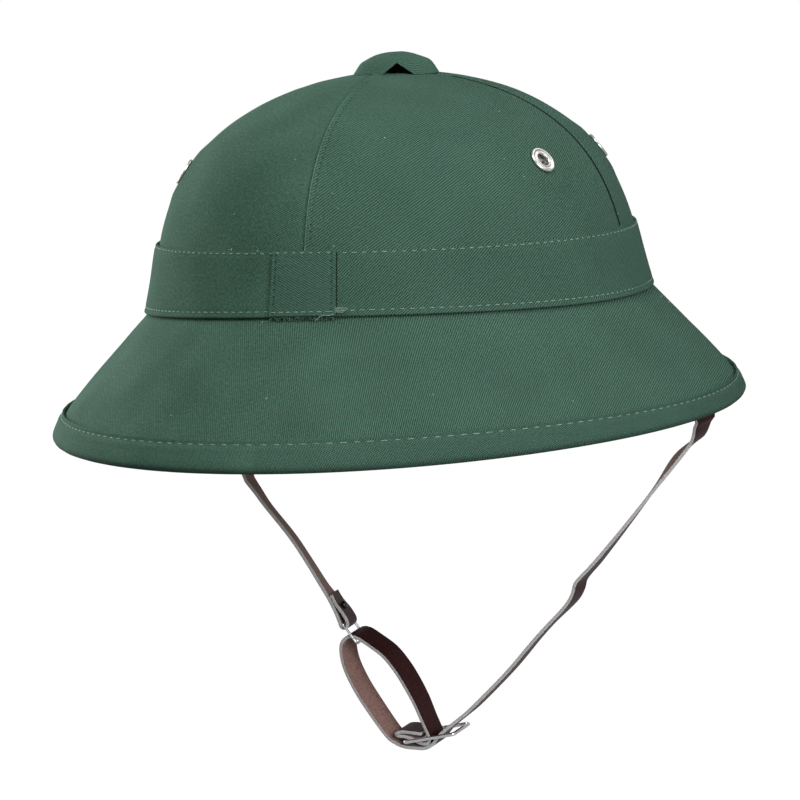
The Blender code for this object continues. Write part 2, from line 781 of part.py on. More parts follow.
def make_slide(collection, cutters):
    """A slide of three bars: a bent frame with a bar across it."""
    middle = hat_place(*SLIDE_PLACE)
    left = middle + Vector((SLIDE_LEFT_BAR[0], 0.0, SLIDE_LEFT_BAR[1])) * SLIDE_WRAP
    right = middle + Vector((SLIDE_RIGHT_BAR[0], 0.0, SLIDE_RIGHT_BAR[1])) * SLIDE_WRAP
    # The side wires run straight, so the middle bar stands on the line between the others.
    run = right - left
    middle = left + run * (middle - left).dot(run) / run.dot(run)
    left_near, left_far = bar_ends(left, SLIDE_LEAN, SLIDE_WIDTH)
    right_near, right_far = bar_ends(right, SLIDE_LEAN, SLIDE_WIDTH)
    corners = (left_near, left_far, right_far, right_near)
    slide = wire("strap_slide", corners, SLIDE_CORNER, SLIDE_WIRE, collection, True)
    bar = wire(
        "join_slide_bar", bar_ends(middle, SLIDE_LEAN, SLIDE_WIDTH), 0.0, SLIDE_BAR_WIRE,
        cutters, False
    )
    bar.hide_render = True
    bar.display_type = "WIRE"
    combine(slide, bar, "UNION")
    return slide


def make_ring(collection):
    head, foot = ring_bars()
    head_near, head_far = bar_ends(head, RING_LEAN, RING_WIDTH)
    foot_near, foot_far = bar_ends(foot, RING_LEAN, RING_WIDTH)
    corners = (head_near, head_far, foot_far, foot_near)
    return wire("strap_ring", corners, RING_CORNER, RING_WIRE, collection, True)


def make_rivet(name, collection, cutters, strap):
    """A rivet with two domed heads, and the holes for its shank in the strap's two layers."""
    width = lean_direction(RIVET_LEAN)
    axis = width.cross(Vector((RIVET_RUN[0], 0.0, RIVET_RUN[1]))).normalized()
    place = ring_bars()[0] + Vector((RIVET_ROW[0], 0.0, RIVET_ROW[1])) * RING_WRAP
    place += width * STRAP_WIDTH / 2
    half = RIVET_SPREAD * RING_WRAP + STRAP_THICKNESS / 2 + RIVET_PLAY
    upper = [(share * RIVET_HEAD, half + rise * RIVET_DOME) for share, rise in DOMED_HEAD]
    upper.append((RIVET_SHANK, half))
    profile = upper + [(radius, -height) for radius, height in upper[::-1]]
    rivet = turned(name, profile, TURNED_STEPS, "steel", collection, False)
    rivet.matrix_world = along_axis(place, axis)
    hole = cylinder_cutter(
        "cut_" + name, RIVET_SHANK + GAP, 4 * half, along_axis(place, axis), cutters
    )
    combine(strap, hole, "DIFFERENCE")
    return rivet


def make_stud(name, side, collection, cutters, shell, strap):
    """A flat-headed stud that pins the strap's end to the shell's wall."""
    rise = STRAP_END_SHARE * STUD_SHARE
    near = wall_place(side, near_edge(), rise)
    far = wall_place(side, near_edge() + STRAP_WIDTH, rise)
    above = wall_place(side, near_edge(), STRAP_END_SHARE)
    axis = (far - near).cross(above - near).normalized()
    axis = axis * (side if axis.x > 0 else -side)
    place = (near + far) / 2
    head_foot = -STRAP_THICKNESS / 2 - GAP
    tip = STRAP_THICKNESS / 2 + GAP + SHELL_WALL * STUD_BITE
    shank = [(0.0, tip), (STUD_SHANK, tip), (STUD_SHANK, head_foot)]
    head = [(share * STUD_HEAD, head_foot - rise * STUD_DOME) for share, rise in STUD_PROFILE]
    profile = shank + head
    stud = turned(name, profile, TURNED_STEPS, "steel", collection, False)
    stud.matrix_world = along_axis(place, axis)
    reach = 4 * (STRAP_THICKNESS + SHELL_WALL)
    hole = cylinder_cutter(
        "cut_" + name, STUD_SHANK + GAP, reach, along_axis(place, axis), cutters
    )
    combine(shell, hole, "DIFFERENCE")
    combine(strap, hole, "DIFFERENCE")
    return stud


def main():
    clear_scene()
    hat = new_collection("pith_helmet")
    cutters = new_collection("cutters")
    shell = make_shell(hat)
    quarters = ("front_right", "back_right", "back_left", "front_left")
    gores = [make_gore("crown_gore_" + name, i, hat) for i, name in enumerate(quarters)]
    make_brim_cover(hat)
    make_band(hat)
    make_band_overlap(hat)
    make_rim_binding(hat)
    make_vent_cap(hat, cutters)
    turns = (EYELET_TURN, math.pi - EYELET_TURN, math.pi + EYELET_TURN, 2 * math.pi - EYELET_TURN)
    for name, turn, gore in zip(quarters, turns, gores):
        make_eyelet("eyelet_" + name, turn, hat, cutters, shell, gore)
    long_strap = make_strap("chin_strap_long", 1, LONG_STRAP, hat)
    short_strap = make_strap("chin_strap_short", -1, SHORT_STRAP, hat)
    make_slide(hat, cutters)
    make_ring(hat)
    make_stud("strap_stud_right", 1, hat, cutters, shell, long_strap)
    make_stud("strap_stud_left", -1, hat, cutters, shell, short_strap)
    make_rivet("strap_rivet", hat, cutters, short_strap)


main()
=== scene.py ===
import math
import random

import bpy
from mathutils import Matrix, Vector, noise


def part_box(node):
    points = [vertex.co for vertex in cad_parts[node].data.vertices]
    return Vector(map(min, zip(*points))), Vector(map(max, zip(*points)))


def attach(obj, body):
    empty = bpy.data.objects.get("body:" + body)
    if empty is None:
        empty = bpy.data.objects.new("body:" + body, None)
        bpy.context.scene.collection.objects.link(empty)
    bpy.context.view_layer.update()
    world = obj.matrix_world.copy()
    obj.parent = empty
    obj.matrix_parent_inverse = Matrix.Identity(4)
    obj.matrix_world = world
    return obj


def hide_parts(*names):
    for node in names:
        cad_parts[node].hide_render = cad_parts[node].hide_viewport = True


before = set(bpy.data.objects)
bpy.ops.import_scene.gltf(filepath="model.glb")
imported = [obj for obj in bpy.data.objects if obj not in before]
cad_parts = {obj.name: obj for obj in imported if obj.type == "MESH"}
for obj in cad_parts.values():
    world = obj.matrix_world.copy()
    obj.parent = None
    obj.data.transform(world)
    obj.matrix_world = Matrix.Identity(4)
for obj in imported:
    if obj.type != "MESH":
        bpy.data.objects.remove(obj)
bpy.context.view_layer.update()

# The helmet's own sizes, as in the solids, in metres.
RIM_LENGTH = 0.3276
RIM_WIDTH = 0.2704
RIM_SETBACK = 0.0081
BRIM_DROP = 0.0447
BRIM_FLARE = 0.17
FLARE_FADE = 6
SIDE_SWELL = 0.0030
SWELL_RISE = 3
SWELL_TURN = 4
CROWN_LENGTH = 0.2318
CROWN_WIDTH = 0.2016
CROWN_HEIGHT = 0.0926
END_RISE = 0.0046
FRONT_RISE = 0.0014
CROWN_SHOULDER = 2.915
CROWN_ROUNDING = 1.969
CROWN_FOOT_SHARE = 0.061
CROWN_FOOT_FADE = 4.293
GAP = 0.0003
CLOTH = 0.0010
SHELL_WALL = 0.0020
BAND_CLOTH = 0.0012
OVERLAP_CLOTH = 0.0010
BAND_HEIGHT = 0.0274
BAND_FOOT = 0.0004
BAND_SLOPE = 0.0010
OVERLAP_WIDTH = 0.0264
OVERLAP_SHIFT = 0.0014
HEM_WIDTH = 0.0122
HEM_SLIM = 0.0022
HEM_INSIDE = 0.0052
EDGE_SETBACK = 0.0022
VENT_RADIUS = 0.0090
COVER_VENT_RADIUS = 0.0102
EYELET_TURN = math.radians(66)
EYELET_RISE = 0.615
EYELET_FLANGE = 0.00565
EYELET_BORE = 0.00265
EYELET_HOLE = EYELET_BORE + 0.0009
STRAP_WIDTH = 0.0125
STRAP_THICKNESS = 0.0014
STRAP_MIDDLE = 0.0200
STRAP_DROP = 0.1910
STRAP_END_SHARE = 0.13
STRAP_STEP = 0.0014
SLIDE_WIRE = 0.0008
SLIDE_WIDTH = 0.0160
SLIDE_CORNER = 0.0020
RING_WIRE = 0.00055
RING_WIDTH = 0.0144
RING_HEIGHT = 0.0099
RING_CORNER = 0.0018
RING_TILT = math.radians(35.1)

# Worked out from them: heights off the cloth's outer face, and places on the brim as shares
# of its drop.
HALF_RIM = RIM_WIDTH / 2
COVER_INSIDE = -CLOTH
SHELL_OUTSIDE = COVER_INSIDE - GAP
SHELL_INSIDE = SHELL_OUTSIDE - SHELL_WALL
BAND_OUTSIDE = GAP + BAND_CLOTH
OVERLAP_OUTSIDE = BAND_OUTSIDE + GAP + OVERLAP_CLOTH
HEM_OUTSIDE = 0.0013
HEM_LENGTH = 0.94
HEM_FAR_SIDE = -0.0046
SLIDE_WRAP = SLIDE_WIRE + GAP + STRAP_THICKNESS / 2
RING_WRAP = RING_WIRE + GAP + STRAP_THICKNESS / 2
BRIM_SLANT = math.hypot((RIM_WIDTH - CROWN_WIDTH) / 2, BRIM_DROP)
EDGE_DROP = 1 - EDGE_SETBACK / BRIM_DROP
TUCK_DROP = EDGE_DROP - HEM_INSIDE / BRIM_DROP
NEAR_EDGE = STRAP_MIDDLE - STRAP_WIDTH / 2
END_MIDDLE = math.asin(2 * OVERLAP_SHIFT / CROWN_WIDTH)
END_HALF = math.asin(OVERLAP_WIDTH / CROWN_WIDTH)
QUARTERS = ("front_right", "back_right", "back_left", "front_left")
EYELET_TURNS = (
    EYELET_TURN, math.pi - EYELET_TURN, math.pi + EYELET_TURN, 2 * math.pi - EYELET_TURN
)

# The camera: how far off it stands, where it looks, and how it is turned.
CAMERA_TARGET = Vector((0.0, -0.0081, -0.0406))
CAMERA_DISTANCE = 1.5523
CAMERA_AZIMUTH = math.radians(19.67)
CAMERA_ELEVATION = math.radians(7.54)
CAMERA_ROLL = math.radians(3.28)
CAMERA_LENS_MM = 171.49

# Sewing: pitches and lengths of stitches, how far their rows lie from an edge, how deep they
# sit in the cloth, and the spacing of the cloth's ribs and threads.
BAND_STITCH = 0.0038
HEM_STITCH = 0.0050
STITCH_SHARE = 0.58
HEM_STITCH_SHARE = 0.5
STITCH_RADIUS = 0.00020
STITCH_INSET = 0.0008
BAND_FOOT_ROW = 0.0028
BAND_BED = 0.00018
HEM_INSET = 0.0016
HEM_BED = 0.0003
END_TOP_STITCH = 0.0034
END_FOOT_STITCH = 0.0031
END_STITCH_LENGTH = 0.0021
END_FOOT_ROW = 0.0022
END_BED = 0.00012
END_ROW_SHARE = 0.96
SIDE_STITCH = 0.0027
SIDE_SEWN = 0.0013
SIDE_FOLDED = 0.0020
SIDE_SEWN_HOLES = 0.0016
SIDE_FOLDED_HOLES = 0.0017
SEAM_SHIFT = 0.0105
SEAM_LAP = 0.0006
SEAM_SEW = 0.0019
PANEL_INSET = 0.0016
RIB_SPACING = 0.00092
THREAD_SPACING = 0.00062

# Where the way round the band is measured, the columns and rows of each piece, and the
# facets of the solid shell's inner wall.
BAND_LEVEL = 0.15
PANEL_GRID = (116, 84)
SHELL_GRID = (200, 72)
BRIM_GRID = (360, 30)
BAND_GRID = (480, 26)
BAND_END_GRID = (54, 44)
HEM_GRID = (600, 44)
STRAP_ROWS = 10
SHELL_FACETS = 40

# Unevenness of each face, as waves of a height, a length and a seed.
PANEL_WAVES = ((0.00016, 0.017, 3.0), (0.00022, 0.045, 8.0))
SHELL_WAVES = ((0.00006, 0.009, 1.0),)
BRIM_WAVES = ((0.00022, 0.03, 5.0), (0.0001, 0.011, 9.0))
BAND_WAVES = ((0.0002, 0.014, 4.0),)
BAND_END_WAVES = ((0.00012, 0.007, 6.0),)
HEM_WAVES = ((0.00022, 0.012, 2.0),)
CAP_WAVES = ((0.00045, 0.009, 11.0),)

# Small forms in the cloth, each a height and a width: where thread pulls it in, at seams and
# joints, round an eyelet, and the hem's folded ridge and its fullness below the stitches.
SEAM_SEWN = (0.00025, 0.0006)
LAP_FOOT = (0.0002, 0.003)
BUTTED_SEAM = (0.0006, 0.0009)
PUCKER = (0.00012, 0.002)
EYELET_SWELL = (0.0005, 0.004)
EYELET_DIP = (0.0004, 0.006)
BAND_SEWN = (0.00032, 0.0006)
END_SEWN = (0.0003, 0.0005)
HEM_RIDGE = (0.0003, 0.0006)
HEM_SEWN = (0.00045, 0.0006)
HEM_FULLNESS = (0.0002, 0.0012)
HEM_JOINT = (0.0005, 0.0007)

# The hem's cloth starts inside the brim, turns round the edge between these shares of its
# width and lies on the brim's outer face for the rest. Its ends meet at the joint.
HEM_TUCKED = 0.2
HEM_ROUNDED = 0.55
HEM_JOINT_TURN = math.radians(-16.5)
HEM_WEAVE_WIDTH = 0.034
BRIM_LAP = 0.0020

# The strap's fittings: their places on the hat, how they lean, and their bars and the rivet
# from there, in shares of how far the leather wraps round a wire.
SLIDE_PLACE = (-0.0385, -0.978)
RING_PLACE = (-0.264, -0.7455)
SLIDE_LEAN = (0.12, 0.072)
RING_LEAN = (-0.09, -0.02)
SLIDE_LEFT_BAR = (-4.94, -0.72)
SLIDE_RIGHT_BAR = (7.44, 1.50)
RIVET_ROW = (-1.70, 3.90)
RIVET_LEAN = (-0.14, 0.02)
RIVET_RUN = (-0.50, 0.865)


def run(origin, lean, *places):
    """Rows of a route that are measured from one origin and lean alike."""
    return [(origin, *place, *lean) for place in places]


# Route of each strap's near edge, row by row: what the row is measured from, across, up,
# and how far the far edge stands off across and up, as a share of the strap's width.
LONG_STRAP = (
    ("brim", -0.006, -0.269, -0.05, 0.03),
    ("brim", 0.174, -0.581, 0.10, 0.07),
    ("brim", 0.378, -0.893, 0.25, 0.12),
    ("hat", 0.873, -0.277, 0.376, 0.152),
    ("hat", 0.868, -0.295, 0.28, 0.11),
    ("hat", 0.858, -0.322, 0.12, 0.05),
    ("hat", 0.834, -0.346, -0.13, 0.10),
    ("hat", 0.793, -0.380, -0.21, 0.18),
    ("hat", 0.720, -0.438, -0.10, 0.08),
    ("hat", 0.626, -0.514, -0.04, 0.03),
    ("hat", 0.533, -0.586, 0.02, -0.02),
    ("hat", 0.491, -0.615, 0.07, -0.01),
    *run("hat", (0.096, 0.0), (0.470, -0.632), (0.461, -0.652)),
    ("hat", 0.445, -0.672, 0.09, 0.0),
    ("hat", 0.419, -0.693, 0.05, 0.0),
    *run("hat", (0.0, 0.0), (0.370, -0.727), (0.321, -0.763)),
    ("hat", 0.234, -0.830, 0.04, 0.02),
    ("hat", 0.118, -0.908, 0.09, 0.05),
    *run(
        "slide", SLIDE_LEAN, (7.78, 4.22), (4.44, 1.67), (2.90, 0.11), (1.72, -1.35),
        (-0.22, -2.33), (-2.67, -2.33), (-5.39, -2.06), (-7.78, -1.06)
    ),
    ("slide", -9.78, 0.67, 0.14, 0.085),
    *run("hat", (0.18, 0.11), (-0.228, -0.912), (-0.267, -0.865), (-0.294, -0.819)),
    *run(
        "ring foot", (0.18, 0.12), (-5.03, -1.87), (-4.32, 0.45), (-2.52, 1.74), (-0.32, 1.55),
        (2.97, -0.52)
    ),
    *run("hat", (0.18, 0.12), (-0.165, -0.794), (-0.129, -0.825), (-0.099, -0.860)),
    ("hat", -0.069, -0.901, 0.16, 0.10),
    ("slide", -0.56, 3.94, 0.13, 0.08),
    *run(
        "slide", SLIDE_LEAN, (0.60, 1.20), (1.06, -0.15), (0.55, -1.10), (-0.50, -1.30),
        (-1.83, -0.94), (-3.28, -0.12), (-5.22, 0.38), (-6.60, 0.46), (-7.22, 0.86),
        (-6.60, 1.34), (-5.20, 1.50), (-3.22, 1.30), (-1.10, 1.05)
    ),
)
SHORT_STRAP = (
    ("brim", -0.167, -0.269, 0.02, 0.0),
    ("brim", -0.210, -0.628, 0.0, 0.0),
    ("brim", -0.328, -1.030, -0.05, 0.0),
    ("hat", -0.625, -0.325, -0.10, 0.0),
    ("hat", -0.587, -0.394, -0.13, 0.0),
    ("hat", -0.580, -0.407, -0.14, -0.03),
    ("hat", -0.557, -0.428, -0.17, -0.08),
    *run("hat", (-0.19, -0.14), (-0.522, -0.462), (-0.450, -0.527), (-0.403, -0.578)),
    ("hat", -0.353, -0.639, -0.18, -0.10),
    ("ring head", -4.19, 7.48, -0.17, -0.02),
    ("ring head", -3.03, 5.10, -0.16, 0.02),
    ("ring head", -1.94, 2.60, -0.13, 0.02),
    *run(
        "ring head", RING_LEAN, (-1.17, 0.35), (-0.78, -0.84), (0.15, -1.15), (0.98, -0.56),
        (1.10, 0.55)
    ),
    ("ring head", 0.00, 2.71, -0.13, 0.02),
    ("ring head", -1.89, 5.32, -0.16, 0.02),
    ("ring head", -3.15, 8.00, -0.17, -0.02),
)


# The cloth's outer face

NORMAL_STEP = 0.002
HIGHEST_STATION = 0.9995


def spread(rise):
    """The crown's share of its base size, at a share of its height."""
    dome = (1 - rise**CROWN_SHOULDER) ** (1 / CROWN_ROUNDING)
    foot = (1 - rise) ** CROWN_FOOT_FADE
    return (1 - CROWN_FOOT_SHARE) * dome + CROWN_FOOT_SHARE * foot


def rise_at(wanted_spread):
    low, high = 0.0, 1.0
    for _ in range(40):
        middle = (low + high) / 2
        if spread(middle) > wanted_spread:
            low = middle
        else:
            high = middle
    return low


def skin(turn, station):
    """A point of the cover's outer face. The turn runs from -Y toward +X. The station is
    -1 at the rim, 0 at the crown's base and 1 at its top."""
    end_rise = END_RISE * math.cos(turn) ** 2
    front_rise = FRONT_RISE * math.cos(turn)
    if station >= 0:
        across = CROWN_WIDTH / 2 * spread(station)
        along = CROWN_LENGTH / 2 * spread(station)
        up = CROWN_HEIGHT * station + end_rise * (1 - station) ** 2 + front_rise * (1 - station)
        back = 0.0
    else:
        drop = -station
        reach = drop * (1 + BRIM_FLARE * (1 - drop**FLARE_FADE))
        swell_out = SIDE_SWELL * drop**SWELL_RISE * max(0.0, math.sin(turn)) ** SWELL_TURN
        across = CROWN_WIDTH / 2 + (RIM_WIDTH - CROWN_WIDTH) / 2 * reach + swell_out
        along = CROWN_LENGTH / 2 + (RIM_LENGTH - CROWN_LENGTH) / 2 * reach
        up = -BRIM_DROP * drop + (1 - drop) * (end_rise + front_rise)
        back = -RIM_SETBACK * drop
    return Vector((across * math.sin(turn), back - along * math.cos(turn), up))


def skin_normal(turn, station):
    upper = min(station + NORMAL_STEP, HIGHEST_STATION)
    around = skin(turn + NORMAL_STEP, station) - skin(turn - NORMAL_STEP, station)
    upward = skin(turn, upper) - skin(turn, station - NORMAL_STEP)
    return around.cross(upward).normalized()


def layer(turn, station, lift):
    return skin(turn, station) + skin_normal(turn, station) * lift


def on_cloth(turn, station, lift):
    """A point off the cover's face, and the face's normal there."""
    return layer(turn, station, lift), skin_normal(turn, station)


def hem_drop(turn):
    """Where the hem's upper edge lies on the brim: the hem is slimmer toward +X."""
    width = HEM_WIDTH - HEM_SLIM * max(0.0, math.sin(turn)) ** SWELL_TURN
    return 1 - width / BRIM_SLANT


def direction(azimuth, elevation):
    """Where something stands round the hat, from -Y toward +X, and above it."""
    level = math.cos(elevation)
    return Vector((math.sin(azimuth) * level, -math.cos(azimuth) * level, math.sin(elevation)))


def uneven(point, waves):
    """How far a face stands off by chance: waves lists (height, length of a bump, seed)."""
    return sum(
        height * noise.noise(point / length + Vector((seed, 2 * seed, -seed)))
        for height, length, seed in waves
    )


def bump(distance, height, width):
    return height * math.exp(-((distance / width) ** 2))


def ease(share):
    share = max(0.0, min(1.0, share))
    return share * share * (3 - 2 * share)


# Ways of working on a piece

def choose(*pieces):
    """Selects pieces and nothing else, and makes the first one active."""
    bpy.ops.object.select_all(action="DESELECT")
    for piece in pieces:
        piece.select_set(True)
    if pieces:
        bpy.context.view_layer.objects.active = pieces[0]


def named(name):
    piece = bpy.context.object
    piece.name = name
    piece.data.name = name
    return piece


def finish_with(piece, kind, **settings):
    """Adds a modifier with its settings and applies it."""
    choose(piece)
    bpy.ops.object.modifier_add(type=kind)
    modifier = piece.modifiers[-1]
    for key, value in settings.items():
        setattr(modifier, key, value)
    bpy.ops.object.modifier_apply(modifier=modifier.name)


def thicken(piece, thickness):
    """Gives a face its thickness, inwards."""
    finish_with(piece, "SOLIDIFY", thickness=thickness, offset=-1.0)


def soften(piece, width, angle=1.2, segments=3):
    """Rounds the edges that bend by more than an angle in radians."""
    finish_with(
        piece, "BEVEL", width=width, segments=segments, limit_method="ANGLE", angle_limit=angle
    )


def merge_seam(piece):
    choose(piece)
    bpy.ops.object.mode_set(mode="EDIT")
    bpy.ops.mesh.select_all(action="SELECT")
    bpy.ops.mesh.remove_doubles(threshold=0.00001)
    bpy.ops.object.mode_set(mode="OBJECT")


def link_up(name, data):
    piece = bpy.data.objects.new(name, data)
    bpy.context.scene.collection.objects.link(piece)
    return piece


def laid_grid(name, columns, rows, place, uv):
    """A primitive grid laid over a surface: place and uv take the shares across and up."""
    choose()
    bpy.ops.mesh.primitive_grid_add(x_subdivisions=columns, y_subdivisions=rows, size=2)
    piece = named(name)
    mesh = piece.data
    shares = [((v.co.x + 1) / 2, (v.co.y + 1) / 2) for v in mesh.vertices]
    chart = mesh.uv_layers.active.data
    for loop in mesh.loops:
        chart[loop.index].uv = uv(*shares[loop.vertex_index])
    for vertex, share in zip(mesh.vertices, shares):
        vertex.co = place(*share)
    return piece


SMALLEST_RADIUS = 1e-5


def lathe(name, profile, steps, closed):
    """A ring of vertices extruded, widened and lifted through a profile of (radius, height)."""
    radius, height = profile[0]
    choose()
    bpy.ops.mesh.primitive_circle_add(
        vertices=steps, radius=max(radius, SMALLEST_RADIUS), location=(0, 0, height)
    )
    bpy.ops.object.transform_apply(location=True)
    piece = named(name)
    bpy.ops.object.mode_set(mode="EDIT")
    bpy.ops.mesh.select_all(action="SELECT")
    following = profile[1:] + profile[:1] if closed else profile[1:]
    for next_radius, next_height in following:
        bpy.ops.mesh.extrude_region_move(
            TRANSFORM_OT_translate={"value": (0, 0, next_height - height)}
        )
        factor = max(next_radius, SMALLEST_RADIUS) / max(radius, SMALLEST_RADIUS)
        bpy.ops.transform.resize(value=(factor, factor, 1.0))
        radius, height = next_radius, next_height
    bpy.ops.mesh.select_all(action="SELECT")
    bpy.ops.mesh.remove_doubles(threshold=0.00004)
    bpy.ops.mesh.normals_make_consistent(inside=False)
    bpy.ops.object.mode_set(mode="OBJECT")
    return piece


def set_down(piece, place, axis):
    """Stands a piece modelled at the origin at a place, its height along an axis."""
    turn = axis.to_track_quat("Z", "Y").to_matrix().to_4x4()
    piece.data.transform(Matrix.Translation(place) @ turn)


def cut_away(piece, cutter):
    finish_with(piece, "BOOLEAN", operation="DIFFERENCE", solver="EXACT", object=cutter)
    bpy.data.objects.remove(cutter, do_unlink=True)


def pierce(piece, place, axis, radius):
    """Cuts a round hole through a piece."""
    choose()
    bpy.ops.mesh.primitive_cylinder_add(vertices=40, radius=radius, depth=0.02)
    cutter = named("cutter")
    set_down(cutter, place, axis)
    cut_away(piece, cutter)


def settle(piece, finishes, nodes=(), smooth=48):
    """Gives a finished piece its finishes and hides the solids that it stands for."""
    choose(piece)
    bpy.ops.object.shade_smooth_by_angle(angle=math.radians(smooth))
    piece.data.materials.clear()
    for finish in finishes if isinstance(finishes, tuple) else (finishes,):
        piece.data.materials.append(finish)
    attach(piece, "root")
    if nodes:
        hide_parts(*nodes)
    return piece


def joined(name, pieces):
    choose(*pieces)
    bpy.ops.object.join()
    return named(name)


def tube(name, points, radius, roundness, kind, cyclic=False):
    """A round bar or thread along points, made a mesh."""
    data = bpy.data.curves.new(name, "CURVE")
    data.dimensions = "3D"
    data.bevel_depth = radius
    data.bevel_resolution = roundness
    data.resolution_u = 4
    data.use_fill_caps = True
    spline = data.splines.new(kind)
    spline.points.add(len(points) - 1)
    for slot, point in zip(spline.points, points):
        slot.co = (*point, 1.0)
    spline.use_cyclic_u = cyclic
    if kind == "NURBS":
        spline.use_endpoint_u = True
        spline.order_u = 3
    choose(link_up(name, data))
    bpy.ops.object.convert(target="MESH")
    return named(name)


def thread(name, points, radius):
    return tube(name, points, radius, 1, "NURBS")


def settle_threads(name, threads, finish):
    return settle(joined(name, threads), finish, smooth=80)


# Materials

def hex_colour(code):
    """An sRGB colour as linear red, green, blue and alpha."""
    values = [int(code[i:i + 2], 16) / 255 for i in (1, 3, 5)]
    linear = [v / 12.92 if v <= 0.04045 else ((v + 0.055) / 1.055) ** 2.4 for v in values]
    return (*linear, 1.0)


def add_node(tree, kind, values=(), links=(), **settings):
    """Adds a node with its settings, its sockets' values and its links."""
    made = tree.nodes.new(kind)
    for key, value in settings.items():
        setattr(made, key, value)
    for socket, value in dict(values).items():
        made.inputs[socket].default_value = value
    for socket, source in dict(links).items():
        tree.links.new(source, made.inputs[socket])
    return made


def new_finish(name, **values):
    finish = bpy.data.materials.new(name)
    finish.use_nodes = True
    shader = finish.node_tree.nodes["Principled BSDF"]
    for socket, value in values.items():
        shader.inputs[socket.replace("_", " ")].default_value = value
    return finish, finish.node_tree, shader


def ramp(tree, source, stops):
    made = add_node(tree, "ShaderNodeValToRGB", links={0: source})
    band = made.color_ramp
    while len(band.elements) < len(stops):
        band.elements.new(0.5)
    for element, (position, colour) in zip(band.elements, stops):
        element.position = position
        element.color = colour if isinstance(colour, tuple) else hex_colour(colour)
    return made.outputs[0]


def blend(tree, parts):
    """The weighted sum of several patterns: parts lists (source, weight)."""
    total = None
    for source, weight in parts:
        if total is None:
            step = add_node(tree, "ShaderNodeMath", {1: weight}, {0: source}, operation="MULTIPLY")
        else:
            step = add_node(
                tree, "ShaderNodeMath", {1: weight}, {0: source, 2: total}, operation="MULTIPLY_ADD"
            )
        total = step.outputs[0]
    return total


# At scale 1 the wave texture repeats after this length.
WAVE_PERIOD = math.pi / 10
# The cloth's specks of dye and its broad clouds, how deep the weave is, and how far across
# the hat the weave's painted raking light grows from faint to strong.
SPECK_SIZE = 0.0011
CLOUD_SIZE = 0.035
WEAVE_DEPTH = 0.00022
FLAT_LIGHT_UP_TO = -0.06
RAKING_LIGHT_FROM = 0.09


def ribs(tree, vector, angle, spacing, waver):
    """Parallel ridges that run at an angle to the cloth's width, a spacing apart."""
    turned = add_node(
        tree, "ShaderNodeMapping", {"Rotation": (0.0, 0.0, -angle)}, {"Vector": vector}
    )
    wave = add_node(
        tree, "ShaderNodeTexWave",
        {"Scale": WAVE_PERIOD / spacing, "Distortion": waver, "Detail": 1.0, "Detail Scale": 0.12},
        {"Vector": turned.outputs[0]}, wave_type="BANDS", bands_direction="Y",
    )
    return wave.outputs["Fac"]


def raking_light_to_right(tree):
    """How strongly the weave shows: painted raking light, faint on the -X side and strong on the +X
    side, in the contrast of its colour; the bump's strength follows it.
    """
    place = add_node(tree, "ShaderNodeTexCoord").outputs["Object"]
    across = add_node(tree, "ShaderNodeSeparateXYZ", links={0: place}).outputs["X"]
    raking_light = add_node(
        tree, "ShaderNodeMapRange",
        {"From Min": FLAT_LIGHT_UP_TO, "From Max": RAKING_LIGHT_FROM, "To Min": 0.4, "To Max": 2.3},
        {"Value": across}, interpolation_type="SMOOTHSTEP",
    )
    return raking_light.outputs["Result"]


def twill(name, angle, cross=0.25, dark="#30493e", middle="#426353", light="#64897a"):
    """Cotton twill, piece dyed: fine slanting ribs, a dry matt face with a soft bloom
    toward the edges, and threads that took the dye unevenly."""
    finish, tree, shader = new_finish(
        name, Roughness=0.95, Sheen_Weight=0.04, Sheen_Roughness=0.5, Specular_IOR_Level=0.08
    )
    shader.inputs["Sheen Tint"].default_value = hex_colour("#8fb5a2")
    chart = add_node(tree, "ShaderNodeTexCoord").outputs["UV"]
    slant = ribs(tree, chart, angle, RIB_SPACING, 1.6)
    crossing = ribs(tree, chart, angle + math.radians(68), THREAD_SPACING, 2.2)
    specks = add_node(
        tree, "ShaderNodeTexNoise", {"Scale": 1 / SPECK_SIZE, "Detail": 2.0}, {"Vector": chart}
    ).outputs["Fac"]
    cloud = add_node(
        tree, "ShaderNodeTexNoise", {"Scale": 1 / CLOUD_SIZE, "Detail": 2.0}, {"Vector": chart}
    ).outputs["Fac"]
    # Painted light: the weave's colour contrast grows toward +X, as if raking light fell there.
    raking_light = raking_light_to_right(tree)
    weave = blend(tree, ((slant, 0.36), (crossing, cross * 0.9)))
    centred = add_node(
        tree, "ShaderNodeMath", {1: 0.18 + cross * 0.45}, {0: weave}, operation="SUBTRACT"
    )
    sharp = add_node(
        tree, "ShaderNodeMath", links={0: centred.outputs[0], 1: raking_light}, operation="MULTIPLY"
    )
    shade = blend(tree, ((sharp.outputs[0], 1.0), (specks, 0.55), (cloud, 0.3)))
    colour = ramp(tree, shade, ((0.15, dark), (0.425, middle), (0.72, light)))
    tree.links.new(colour, shader.inputs["Base Color"])
    height = blend(tree, ((slant, 0.7), (crossing, cross), (specks, 0.5)))
    strength = add_node(tree, "ShaderNodeMath", {1: 0.5}, {0: raking_light}, operation="MULTIPLY")
    bump = add_node(
        tree, "ShaderNodeBump", {"Distance": WEAVE_DEPTH},
        {"Height": height, "Strength": strength.outputs[0]}
    )
    tree.links.new(bump.outputs[0], shader.inputs["Normal"])
    return finish


def grainy(name, size, dark, light, bump_height, **values):
    """A surface with an even irregular grain of one size in metres."""
    finish, tree, shader = new_finish(name, **values)
    place = add_node(tree, "ShaderNodeTexCoord").outputs["Object"]
    grain = add_node(
        tree, "ShaderNodeTexNoise", {"Scale": 1 / size, "Detail": 3.0}, {"Vector": place}
    ).outputs["Fac"]
    colour = ramp(tree, grain, ((0.35, dark), (0.65, light)))
    tree.links.new(colour, shader.inputs["Base Color"])
    bump = add_node(
        tree, "ShaderNodeBump", {"Strength": 0.6, "Distance": bump_height}, {"Height": grain}
    )
    tree.links.new(bump.outputs[0], shader.inputs["Normal"])
    return finish


